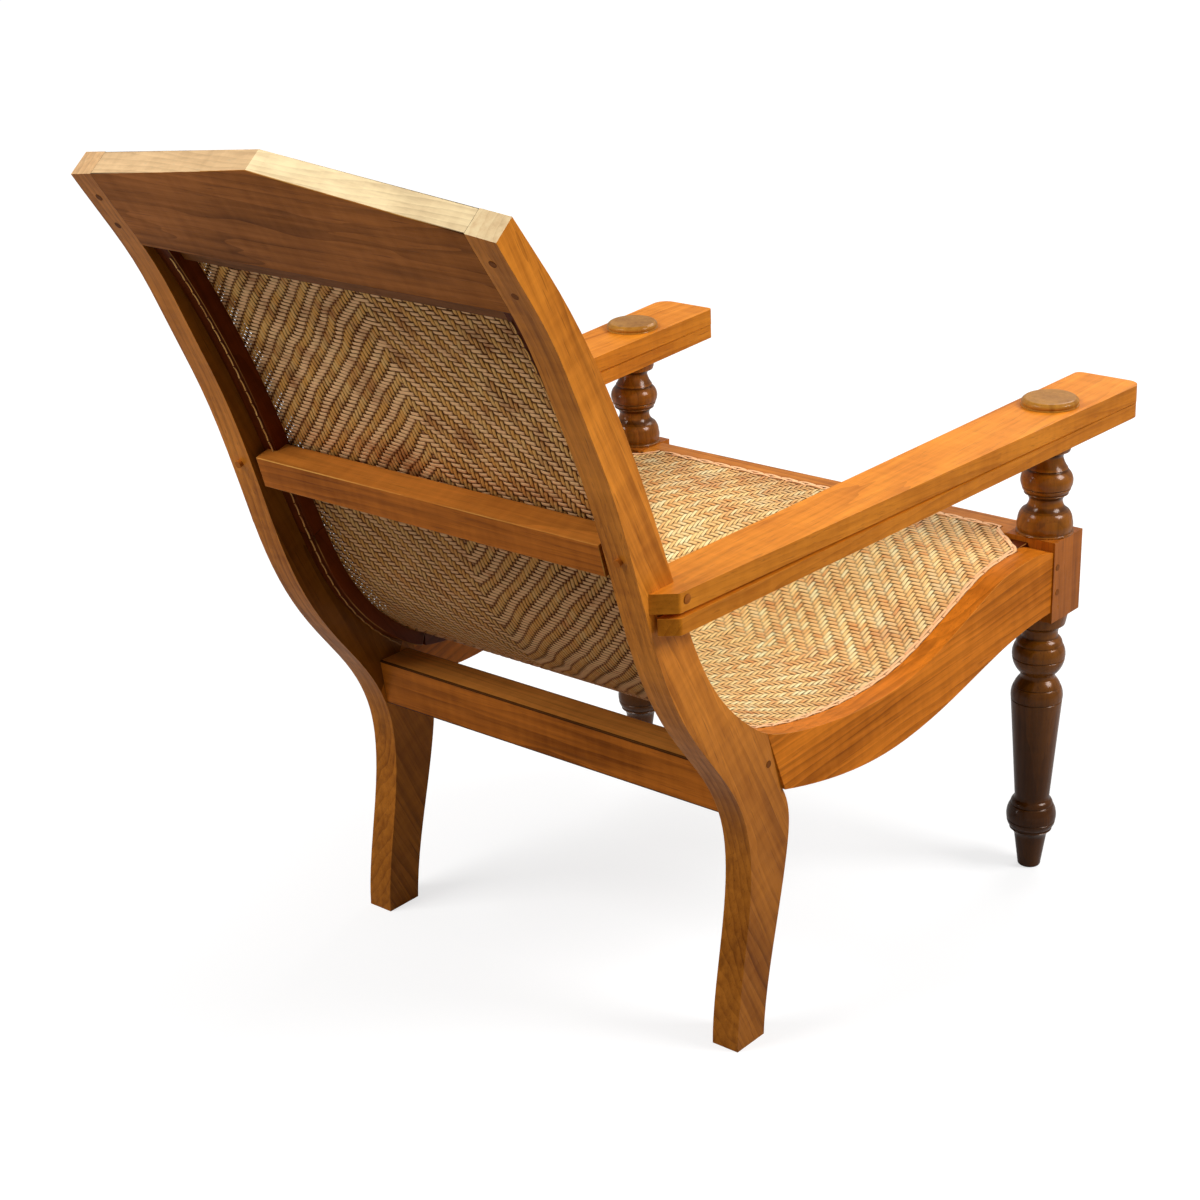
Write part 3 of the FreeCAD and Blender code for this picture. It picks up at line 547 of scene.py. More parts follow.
# FRAME_WOOD darkens towards the floor: painted shade on the lower posts and front rail
FRAME_WOOD = TimberFinish("frame_wood", light="#E88E2C", deep="#9C5410", floor_shade=0.48)
SIDE_WOOD = TimberFinish("frame_wood", light="#E0801E", deep="#A0540C", vein="#4A1E04", figure=0.7,
                         roughness=0.42, gloss=0.14, coat=0.02)
CREST_WOOD = TimberFinish("frame_wood", light="#B86C2A", deep="#7C4412", vein="#341806", figure=0.7,
                          ring=6 * MM, roughness=0.45, gloss=0.1, coat=0.0)
# These rails' pale colour paints the light on their tops
CROSS_WOOD = TimberFinish("frame_wood", light="#C46E20", deep="#80400A", vein="#3C1A05", bare_and_lit="#FFB458",
                          gloss=0.12, coat=0.0)
BOARD_WOOD = TimberFinish("arm_wood", light="#EE9226", deep="#BC6812", vein="#7A3C0A", figure=0.55,
                          roughness=0.4, gloss=0.16, coat=0.04)
# The ledges' dark tones are painted shade of the recess between post and cane
SHADED_LEDGE_WOOD = TimberFinish("ledge_wood", light="#6A2C0C", deep="#421604", vein="#2A0E04",
                          roughness=0.5, coat=0.0)
SHADED_STRIP_WOOD = TimberFinish("ledge_wood", light="#8E5424", deep="#54300E", vein="#3A1C08",
                          roughness=0.5, coat=0.0)
# The turnings darken towards the floor: painted shade
TURNED_WOOD = LegFinish("turned_wood", light="#B0681A", deep="#6A3A0A", vein="#2C1202", figure=0.5,
                        floor_shade=0.85, roughness=0.3, gloss=0.16, coat=0.42)
# The cap's pale arris colour is a painted highlight on its rim
CAP_WOOD = TimberFinish("turned_wood", light="#B88030", deep="#8C5818", vein="#6A3C10", arris_wear_and_highlight="#FFDC94",
                        figure=0.2, roughness=0.3, gloss=0.2, coat=0.2)
PEG_WOOD = TimberFinish("peg_wood", light="#8A4C18", deep="#5A300C", vein="#341806", roughness=0.5, gloss=0.1)
PLUG_WOOD = TimberFinish("peg_wood", light="#B06420", deep="#84460F", vein="#5A2C0A", roughness=0.5, gloss=0.1)


# Timber

def mark_faces(mesh: bpy.types.Mesh, name: str, share: Callable[[bpy.types.MeshPolygon], float]) -> None:
    """Writes one number on each face, for the finish to read.

    Args:
        mesh: the mesh to mark.
        name: the mark's name.
        share: gives a face's number.
    """
    shares = [share(face) for face in mesh.polygons]
    values = np.repeat(shares, [face.loop_total for face in mesh.polygons]).astype(np.float32)
    mesh.attributes.new(name, "FLOAT", "CORNER").data.foreach_set("value", values)


@dataclass
class TimberPiece:
    """One wooden node: its finish, the run of its grain and how its edges are eased."""

    node: str
    finish: TimberFinish
    slot: str
    grain: Vector
    pith: Vector
    ease: float = 2.4 * MM
    eased: bool = True
    joint_ease: float = 0.6 * MM
    joint_gap: float = 0.6 * MM
    seam_gap: float = 1.1 * MM
    flat_within: float = math.radians(0.6)
    edge_angle: float = math.radians(35)
    sharp_angle: float = math.radians(40)

    def dress(self, others: BVHTree) -> bpy.types.Object:
        """Gives the piece its material and, where its edges are eased, a mesh of its own.

        Args:
            others: every other wooden node's surface, against which a joint's edges are found.

        Returns:
            The object that shows: the node itself or the piece that replaces it.
        """
        material = self.finish.material(self.node, self.grain, self.pith)
        source = frame["nodes"][self.node]
        if not self.eased:
            source.data.materials.clear()
            source.data.materials.append(material)
            return source
        piece = placed(f"{self.node}_timber", self.merged_mesh(source, others))
        for _ in range(2):
            piece.data.materials.append(material)
        self.ease_edges(piece)
        self.mark_edges(piece.data, others)
        self.mark_wear_and_painted_light(piece.data)
        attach(piece, source["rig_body"])
        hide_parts(self.node)
        return piece

    def merged_mesh(self, source: bpy.types.Object, others: BVHTree) -> bpy.types.Mesh:
        """Copies the node's solid as whole faces, with a weight on each edge that is to be eased.

        Args:
            source: the node's object.
            others: the other nodes' surface.

        Returns:
            The mesh, whose free arrises weigh 1 and whose joint edges weigh a little.
        """
        work = bmesh.new()
        work.from_mesh(source.data)
        bmesh.ops.remove_doubles(work, verts=work.verts, dist=0.01 * MM)
        bmesh.ops.dissolve_degenerate(work, dist=0.001 * MM, edges=work.edges)
        bmesh.ops.dissolve_limit(work, angle_limit=self.flat_within, verts=work.verts, edges=work.edges)
        weight = work.edges.layers.float.new("bevel_weight_edge")
        for edge in work.edges:
            if len(edge.link_faces) == 2 and edge.calc_face_angle_signed(0.0) > self.edge_angle:
                edge[weight] = 1.0 if self.is_free(edge, others) else self.joint_ease / self.ease
        mesh = bpy.data.meshes.new(f"{self.node}_timber")
        work.to_mesh(mesh)
        work.free()
        return mesh

    def is_free(self, edge: bmesh.types.BMEdge, others: BVHTree) -> bool:
        """Whether no neighbouring piece meets an edge."""
        points = [edge.verts[0].co.lerp(edge.verts[1].co, share) for share in (0.1, 0.5, 0.9)]
        return all(others.find_nearest(point, self.joint_gap)[0] is None for point in points)

    def ease_edges(self, piece: bpy.types.Object) -> None:
        """Rounds the weighted edges, keeps flat faces flat in their shading and applies both.

        Args:
            piece: the object, whose mesh is replaced by the eased one.
        """
        piece.data.shade_smooth()
        piece.data.set_sharp_from_angle(angle=self.sharp_angle)
        bevel = piece.modifiers.new("eased", "BEVEL")
        bevel.width = self.ease
        bevel.segments = 3
        bevel.profile = 0.55
        bevel.limit_method = "WEIGHT"
        bevel.material = 1
        bevel.use_clamp_overlap = True
        piece.modifiers.new("weights", "WEIGHTED_NORMAL").keep_sharp = True
        graph = bpy.context.evaluated_depsgraph_get()
        mesh = bpy.data.meshes.new_from_object(piece.evaluated_get(graph))
        piece.modifiers.clear()
        old = piece.data
        piece.data = mesh
        bpy.data.meshes.remove(old)

    def mark_edges(self, mesh: bpy.types.Mesh, others: BVHTree) -> None:
        """Writes how far each eased corner shows wear, with a painted highlight, or lies in a joint, for the
        finish to read.

        Args:
            mesh: the eased mesh, whose rounded faces have the second material.
            others: the other nodes' surface.
        """
        rounded = [face for face in mesh.polygons if face.material_index]
        flat = {i for face in mesh.polygons if not face.material_index for i in face.vertices}
        near = {i for i in {i for face in rounded for i in face.vertices}
                if others.find_nearest(mesh.vertices[i].co, self.seam_gap)[0] is not None}
        arris, seam = (np.zeros(len(mesh.loops), dtype=np.float32) for _ in range(2))
        for face in rounded:
            for loop in face.loop_indices:
                vertex = mesh.loops[loop].vertex_index
                seam[loop] = vertex in near
                arris[loop] = vertex not in near and vertex not in flat
        for name, values in (("arris", arris), ("seam", seam)):
            mesh.attributes.new(name, "FLOAT", "CORNER").data.foreach_set("value", values)
        mesh.polygons.foreach_set("material_index", np.zeros(len(mesh.polygons), dtype=np.int32))
        mesh.materials.pop(index=1)

    def mark_wear_and_painted_light(self, mesh: bpy.types.Mesh) -> None:
        """A plain piece has no marks but the wear and painted highlight of its edges."""


@dataclass
class CrestPiece(TimberPiece):
    """A piece whose top, over a given height, is pale: wear from hands, and a painted highlight where the
    light falls.
    """

    rubbed_from: float = 0.93
    paleness: float = 1.0
    left_share: float = 0.55
    pale_facing_up: float = 0.55

    def mark_wear_and_painted_light(self, mesh: bpy.types.Mesh) -> None:
        """Marks the faces that are pale, from wear and painted highlight.

        Args:
            mesh: the piece's mesh.
        """
        def pale(face: bpy.types.MeshPolygon) -> float:
            """Tells how pale a face is: only one that looks up, and not to the front.

            Args:
                face: the face.

            Returns:
                Its share of pale wood, from wear and painted highlight.
            """
            up = face.normal.z > self.pale_facing_up and face.normal.y > -0.1
            # Painted light: the sitter's left half slopes away from the lamps and is drawn less pale
            share = self.left_share if face.center.x > 10 * MM else 1.0
            return self.paleness * share if up and face.center.z > self.rubbed_from else 0.0

        mark_faces(mesh, "rubbed", pale)


@dataclass
class PostPiece(CrestPiece):
    """A rear post, whose inner face between the ledges and the back, and a little its rear face, take painted
    shade.
    """

    side: int = 1
    ledge_end: float = 0.36
    inner_shade: float = 0.85
    rear_shade: float = 0.2

    def mark_wear_and_painted_light(self, mesh: bpy.types.Mesh) -> None:
        """Marks where the post is pale, from wear and painted highlight, and where it takes painted shade.

        Args:
            mesh: the post's mesh.
        """
        super().mark_wear_and_painted_light(mesh)

        def dark(face: bpy.types.MeshPolygon) -> float:
            """Tells how dark a face is: the inner one, and a little the rear one.

            Args:
                face: the face.

            Returns:
                Its share of painted shade.
            """
            if face.normal.x * self.side < -0.9 and face.center.z > self.ledge_end:
                return self.inner_shade
            return self.rear_shade if face.normal.y > 0.5 else 0.0

        mark_faces(mesh, "shade_and_wax", dark)


@dataclass
class BoardPiece(TimberPiece):
    """An arm board, whose upright faces take painted shade, darker than its lit top."""

    upright_shade: float = 0.3

    def mark_wear_and_painted_light(self, mesh: bpy.types.Mesh) -> None:
        """Marks the faces that stand upright, for painted shade."""
        mark_faces(mesh, "shade_and_wax", lambda face: self.upright_shade if abs(face.normal.z) < 0.5 else 0.0)


@dataclass
class TurnedPiece(TimberPiece):
    """A piece turned on the lathe, whose grooves and necks are darkened: old wax, and painted shade."""

    block: Span = (342.6 * MM, 444.6 * MM)
    reach: float = 3.5 * MM
    depth: float = 3.2 * MM

    def mark_wear_and_painted_light(self, mesh: bpy.types.Mesh) -> None:
        """Marks the square block, and how deep each point of the turning lies below the widest place near it,
        for wax and painted shade.

        Args:
            mesh: the turning's mesh.
        """
        points = np.array([vertex.co for vertex in mesh.vertices])
        centre = (points.min(0) + points.max(0)) / 2
        radius = np.hypot(points[:, 0] - centre[0], points[:, 1] - centre[1])
        turned = (points[:, 2] < self.block[0]) | (points[:, 2] > self.block[1])
        shade_and_wax = np.zeros(len(points))
        for index in np.nonzero(turned)[0]:
            around = turned & (abs(points[:, 2] - points[index, 2]) < self.reach)
            shade_and_wax[index] = min(1.0, (radius[around].max() - radius[index]) / self.depth)
        for name, values in (("block", ~turned), ("shade_and_wax", shade_and_wax)):
            mesh.attributes.new(name, "FLOAT", "POINT").data.foreach_set("value", values.astype(np.float32))


def joined_surface(names: Iterable[str]) -> BVHTree:
    """Makes one search tree over the surfaces of several nodes.

    Args:
        names: the nodes' names.

    Returns:
        The search tree.
    """
    points: List[Vector] = []
    faces: List[Tuple[int, ...]] = []
    for name in names:
        mesh = frame["nodes"][name].data
        start = len(points)
        points += [v.co.copy() for v in mesh.vertices]
        faces += [tuple(start + i for i in p.vertices) for p in mesh.polygons]
    return BVHTree.FromPolygons(points, faces)


@dataclass
class ChairTimber:
    """All wooden pieces of the chair."""

    post_run: Vector = field(default_factory=lambda: Vector((0, 0.46, 0.89)))
    hollow_run: Vector = field(default_factory=lambda: Vector((0, 0.6, 0.8)))
    rail_splay: float = 0.128
    rail_drop: float = 0.17
    leg_ease: float = 2.0 * MM
    ledge_ease: float = 1.2 * MM
    pieces: List[TimberPiece] = field(default_factory=list)

    def __post_init__(self) -> None:
        """Lists the pieces, left and right alike."""
        for side, sign in (("left", 1), ("right", -1)):
            self.list_side(side, sign)
        self.add(CrestPiece, "crest_rail", CREST_WOOD, "frame_wood", ACROSS, (0, 0.62, 0.84))
        # The tops of these two rails are painted pale, as painted light on lit faces
        for rail, pith, paleness in (("middle_back_rail", (0, 0.27, 0.52), 0.2),
                                     ("rear_stretcher", (0, 0.05, 0.24), 0.45)):
            self.add(CrestPiece, rail, CROSS_WOOD, "frame_wood", ACROSS, pith,
                     rubbed_from=0.0, paleness=paleness, left_share=1.0)
        self.add(TimberPiece, "front_rail", FRAME_WOOD, "frame_wood", ACROSS, (0, -0.5, 0.36))
        self.add(TimberPiece, "crest_ledge", SHADED_STRIP_WOOD, "ledge_wood", ACROSS, (0, 0.5, 0.7),
                 ease=self.ledge_ease)
        for pegs, finish in (("crest_pegs", PEG_WOOD), ("middle_rail_pegs", PLUG_WOOD),
                             ("seat_rail_pegs", PEG_WOOD), ("leg_block_pegs", PEG_WOOD),
                             ("arm_dowels", PLUG_WOOD)):
            self.add(TimberPiece, pegs, finish, "peg_wood", ACROSS, (0, 0, 0), eased=False)

    def list_side(self, side: str, sign: int) -> None:
        """Lists the pieces of one side.

        Args:
            side: left or right, as the nodes are named.
            sign: 1 on the left, -1 on the right.
        """
        splay = Vector((-self.rail_splay * sign, 1, -self.rail_drop))
        self.add(PostPiece, f"back_post_{side}", FRAME_WOOD, "frame_wood", self.post_run,
                 (0.36 * sign, 0.2, 0.4), side=sign)
        self.add(TimberPiece, f"side_rail_{side}", SIDE_WOOD, "frame_wood", splay, (0.4 * sign, 0, 0.2))
        self.add(TurnedPiece, f"front_leg_{side}", TURNED_WOOD, "turned_wood", UPRIGHT,
                 (0.27 * sign, -0.45, 0), ease=self.leg_ease)
        for board, pith in (("fixed_arm", (0.3 * sign, 0, 0.46)), ("swing_arm", (0.42 * sign, 0, 0.5))):
            self.add(BoardPiece, f"{board}_{side}", BOARD_WOOD, "arm_wood", FORTH, pith)
        self.add(TimberPiece, f"pivot_pin_{side}", CAP_WOOD, "turned_wood", UPRIGHT,
                 (0.32 * sign, -0.38, 0), eased=False)
        for ledge, run in (("upper_ledge", self.post_run), ("lower_ledge", self.hollow_run),
                           ("seat_ledge", splay), ("corner_brace", splay)):
            self.add(TimberPiece, f"{ledge}_{side}", SHADED_LEDGE_WOOD, "ledge_wood", run, (0.1 * sign, 0, 0),
                     ease=self.ledge_ease)

    def add(self, kind: Type[TimberPiece], node: str, finish: TimberFinish, slot: str, grain: Vector,
            pith: Place, **more: object) -> None:
        """Adds one piece to the list."""
        self.pieces.append(kind(node, finish, slot, grain, Vector(pith), **more))

    def build(self) -> None:
        """Dresses every piece."""
        names = [piece.node for piece in self.pieces if "peg" not in piece.node and "dowel" not in piece.node]
        for piece in self.pieces:
            others = joined_surface(name for name in names if name != piece.node)
            shown = piece.dress(others)
            LOG.info("%s: %d faces", shown.name, len(shown.data.polygons))


# Cane

class SeatLine:
    """The line that the cane follows, and the panel's half width along it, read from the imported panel."""

    cut_at = 1 * MM
    hollow_depth = 4 * MM
    closest = 0.5 * MM
    edge_places = 600
    line_places = 4000

    def __init__(self) -> None:
        """Cuts the panel's upper skin near its middle and measures its side edges."""
        mesh = frame["nodes"]["cane_panel"].data
        mesh.calc_loop_triangles()
        corners = np.array([[mesh.vertices[i].co for i in tri.vertices] for tri in mesh.loop_triangles])
        normals = np.array([tri.normal for tri in mesh.loop_triangles])
        self.points = self.in_order(self.cut(corners[self.upper_skin(corners, normals)]))
        self.steps = np.concatenate(([0.0], np.cumsum(np.hypot(*np.diff(self.points, axis=0).T))))
        self.length = float(self.steps[-1])
        rim = corners[normals[:, 0] > 0.5].reshape(-1, 3)
        where = self.distance(rim[:, 1:])
        order = np.argsort(where)
        self.grid = np.linspace(0, self.length, self.edge_places)
        self.half = np.interp(self.grid, where[order], rim[order, 0])
        LOG.info("seat line: %d points, %.0f mm long", len(self.points), self.length / MM)

    @staticmethod
    def upper_skin(corners: np.ndarray, normals: np.ndarray) -> np.ndarray:
        """Finds the panel's side towards the sitter.

        Args:
            corners: the corners of the panel's triangles.
            normals: their normals.

        Returns:
            Whether each triangle belongs to that side, without the panel's front, top and side edges.
        """
        upper = (normals @ np.array((0, -1, 1)) > 0.3) & (abs(normals[:, 0]) < 0.3)
        upper &= corners[:, :, 1].max(1) > corners[:, :, 1].min() + 0.4 * MM
        return upper & ~((normals[:, 1] > 0.2) & (corners[:, :, 2].min(1) > corners[:, :, 2].max() - 5 * MM))

    @classmethod
    def cut(cls, triangles: np.ndarray) -> np.ndarray:
        """Cuts triangles by an upright plane beside the chair's middle.

        Args:
            triangles: their corners.

        Returns:
            The (y, z) points in which the triangles' edges cross the plane.
        """
        found = []
        for triangle in triangles:
            for one, other in ((0, 1), (1, 2), (2, 0)):
                a, b = triangle[one], triangle[other]
                if (a[0] - cls.cut_at) * (b[0] - cls.cut_at) < 0:
                    found.append(a[1:] + (cls.cut_at - a[0]) / (b[0] - a[0]) * (b[1:] - a[1:]))
        return np.array(found)

    @classmethod
    def in_order(cls, points: np.ndarray) -> np.ndarray:
        """Sorts the cut's points from the front rail, through the hollow, to the crest.

        Args:
            points: the (y, z) points, in any order.

        Returns:
            The points in order, without doubles.
        """
        low = points[points[:, 1].argmin()]
        slope = np.where(points[:, 0] > low[0], 5 + points[:, 1], -5 - points[:, 1])
        key = np.where(points[:, 1] < low[1] + cls.hollow_depth, points[:, 0] - low[0], slope)
        points = points[np.argsort(key)]
        return points[np.concatenate(([True], np.hypot(*np.diff(points, axis=0).T) > cls.closest))]

    def distance(self, points: np.ndarray) -> np.ndarray:
        """Finds the places of the line that are nearest to some points.

        Args:
            points: the (y, z) points.

        Returns:
            The distance along the line of each place.
        """
        fine = np.linspace(0, self.length, self.line_places)
        line = np.stack([np.interp(fine, self.steps, self.points[:, k]) for k in (0, 1)], 1)
        return fine[((points[:, None, :] - line[None]) ** 2).sum(-1).argmin(1)]

    def curve(self) -> bpy.types.Object:
        """The line as a curve object that a modifier can sample."""
        return guide_curve("seat_line", [(0, y, z) for y, z in self.points])

    def span(self, offset: float) -> Span:
        """From where to where along the line the panel is wide enough to hold a strand."""
        held = self.grid[self.half >= abs(offset)]
        return float(held[0]), float(held[-1])

    def half_at(self, where: float) -> float:
        """Half the panel's width at a distance along the line."""
        return float(np.interp(where, self.grid, self.half))

    def place(self, where: float, across: float, up: float) -> Place:
        """Brings a place on the sheet into space.

        Args:
            where: distance along the line.
            across: distance from the chair's middle.
            up: height over the line, towards the sitter.

        Returns:
            The place in the shared frame.
        """
        y, z, ahead_y, ahead_z = (float(np.interp(w, self.steps, self.points[:, k]))
                                  for w in (where, where + MM) for k in (0, 1))
        ahead = np.array((ahead_y - y, ahead_z - z)) / math.hypot(ahead_y - y, ahead_z - z)
        return across, y - ahead[1] * up, z + ahead[0] * up


class StrandTree(Wiring):
    """A Geometry Nodes tree that turns one point for each strand into a strand on the seat line."""

    def __init__(self, name: str, inputs: Dict[str, str]) -> None:
        """Names the tree's inputs.

        Args:
            name: the tree's name.
            inputs: the kind of each input of its own, by name.
        """
        super().__init__(bpy.data.node_groups.new(name, "GeometryNodeTree"))
        for label, kind in {"Strands": "Geometry", **inputs, "Samples": "Int", "Seed": "Int",
                            "Seat Line": "Object", "Cane": "Material"}.items():
            self.tree.interface.new_socket(name=label, in_out="INPUT", socket_type=f"NodeSocket{kind}")
        self.tree.interface.new_socket(name="Geometry", in_out="OUTPUT", socket_type="NodeSocketGeometry")
        self.given = self.add("NodeGroupInput").outputs

    def tubes(self, sides: int) -> Tuple[Socket, Sequence[Socket]]:
        """Sets out one round tube for each point.

        Args:
            sides: how many faces go round a tube.

        Returns:
            The tubes, each from X = 0 to X = 1 with a radius of 1, and the X, Y and Z of their points.
        """
        straight = self.add("GeometryNodeCurvePrimitiveLine", {"End": (1, 0, 0)}).outputs[0]
        straight = self.add("GeometryNodeResampleCurve", {"Curve": straight, "Count": self.given["Samples"]})
        ring = self.add("GeometryNodeCurvePrimitiveCircle", {"Resolution": sides, "Radius": 1.0}).outputs[0]
        tube = self.add("GeometryNodeCurveToMesh", {"Curve": straight.outputs[0], "Profile Curve": ring,
                                                    "Fill Caps": True}).outputs[0]
        set_out = self.add("GeometryNodeInstanceOnPoints", {"Points": self.given["Strands"], "Instance": tube})
        real = self.add("GeometryNodeRealizeInstances", {"Geometry": set_out.outputs[0]}).outputs[0]
        return real, self.parts(self.add("GeometryNodeInputPosition").outputs[0])

    def carried(self, *names: str) -> List[Socket]:
        """Numbers that each strand's point carries, by their names."""
        kind = "GeometryNodeInputNamedAttribute"
        return [self.add(kind, {"Name": name}, data_type="FLOAT").outputs["Attribute"] for name in names]

    def waver(self, where: Value, reach: float) -> Socket:
        """A smooth random number, up to half the reach each way."""
        return self.times(self.minus(self.noise(where, 1.0, 1.0), 0.5), reach)

    def half_of(self, part: Value, size: Value) -> Socket:
        """The part from -1 to 1 of half a size."""
        return self.times(self.times(part, size), 0.5)

    def shade(self, number: Value, factor: float) -> Socket:
        """A strand's own random number, fixed by its number, a large factor and the seed."""
        key = self.joined(self.times(number, factor), self.given["Seed"])
        return self.add("ShaderNodeTexWhiteNoise", {"Vector": key}, noise_dimensions="3D").outputs["Value"]

    def on_sheet(self, across: Value, along: Value, up: Value) -> Socket:
        """Brings a place on the sheet into space.

        Args:
            across: distance from the chair's middle.
            along: distance along the seat line.
            up: height over the seat line, towards the sitter.

        Returns:
            The position's socket.
        """
        line = self.add("GeometryNodeObjectInfo", {"Object": self.given["Seat Line"]}).outputs["Geometry"]
        sample = self.add("GeometryNodeSampleCurve", {"Curves": line, "Length": along}, mode="LENGTH")
        normal = self.vector("CROSS_PRODUCT", tuple(ACROSS), sample.outputs["Tangent"])
        target = self.vector("ADD", sample.outputs["Position"], self.joined(across))
        return self.vector("ADD", target, self.vector("SCALE", normal, up))

    def laid(self, tubes: Socket, marks: Dict[str, Value], target: Socket) -> bpy.types.NodeTree:
        """Stores what the finish reads, moves the tubes to their places and gives them their material.

        Args:
            tubes: the tubes.
            marks: the numbers to store, by name.
            target: each point's position.

        Returns:
            The finished tree.
        """
        for name, value in marks.items():
            given = {"Geometry": tubes, "Name": name, "Value": value}
            stored = self.add("GeometryNodeStoreNamedAttribute", given, data_type="FLOAT", domain="POINT")
            tubes = stored.outputs[0]
        moved = self.add("GeometryNodeSetPosition", {"Geometry": tubes, "Position": target}).outputs[0]
        smooth = self.add("GeometryNodeSetShadeSmooth", {"Geometry": moved}).outputs[0]
        last = self.add("GeometryNodeSetMaterial", {"Geometry": smooth, "Material": self.given["Cane"]})
        self.add("NodeGroupOutput", {"Geometry": last.outputs[0]})
        return self.tree


def keep_as_cane(name: str, mesh: bpy.types.Mesh) -> None:
    """Shows a mesh as a piece that rides on the frame and stands for the cane panel.

    Args:
        name: the piece's name.
        mesh: its finished mesh.
    """
    piece = placed(name, mesh)
    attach(piece, "frame")
    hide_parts("cane_panel")
    LOG.info("%s: %d faces", name, len(mesh.polygons))


def grow(name: str, tree: bpy.types.NodeTree, columns: Dict[str, Sequence[float]],
         values: Dict[str, object]) -> None:
    """Runs a tree on one point for each strand and keeps the result as a piece of cane.

    Args:
        name: the piece's name.
        tree: the tree to run.
        columns: numbers that the points carry, by name.
        values: the tree's inputs, by name.
    """
    mesh = bpy.data.meshes.new(f"{name}_points")
    mesh.from_pydata([(0, 0, 0)] * len(next(iter(columns.values()))), [], [])
    for key, column in columns.items():
        mesh.attributes.new(key, "FLOAT", "POINT").data.foreach_set("value", column)
    host = placed(f"{name}_points", mesh)
    modifier = host.modifiers.new("strands", "NODES")
    modifier.node_group = tree
    for item in tree.interface.items_tree:
        if item.name in values:
            modifier[item.identifier] = values[item.name]
    graph = bpy.context.evaluated_depsgraph_get()
    result = bpy.data.meshes.new_from_object(host.evaluated_get(graph))
    result.name = name
    bpy.data.objects.remove(host)
    keep_as_cane(name, result)


class Run(Enum):
    """Which way a set of strands runs."""

    LENGTHWISE = "lengthwise"
    CROSSWISE = "crosswise"


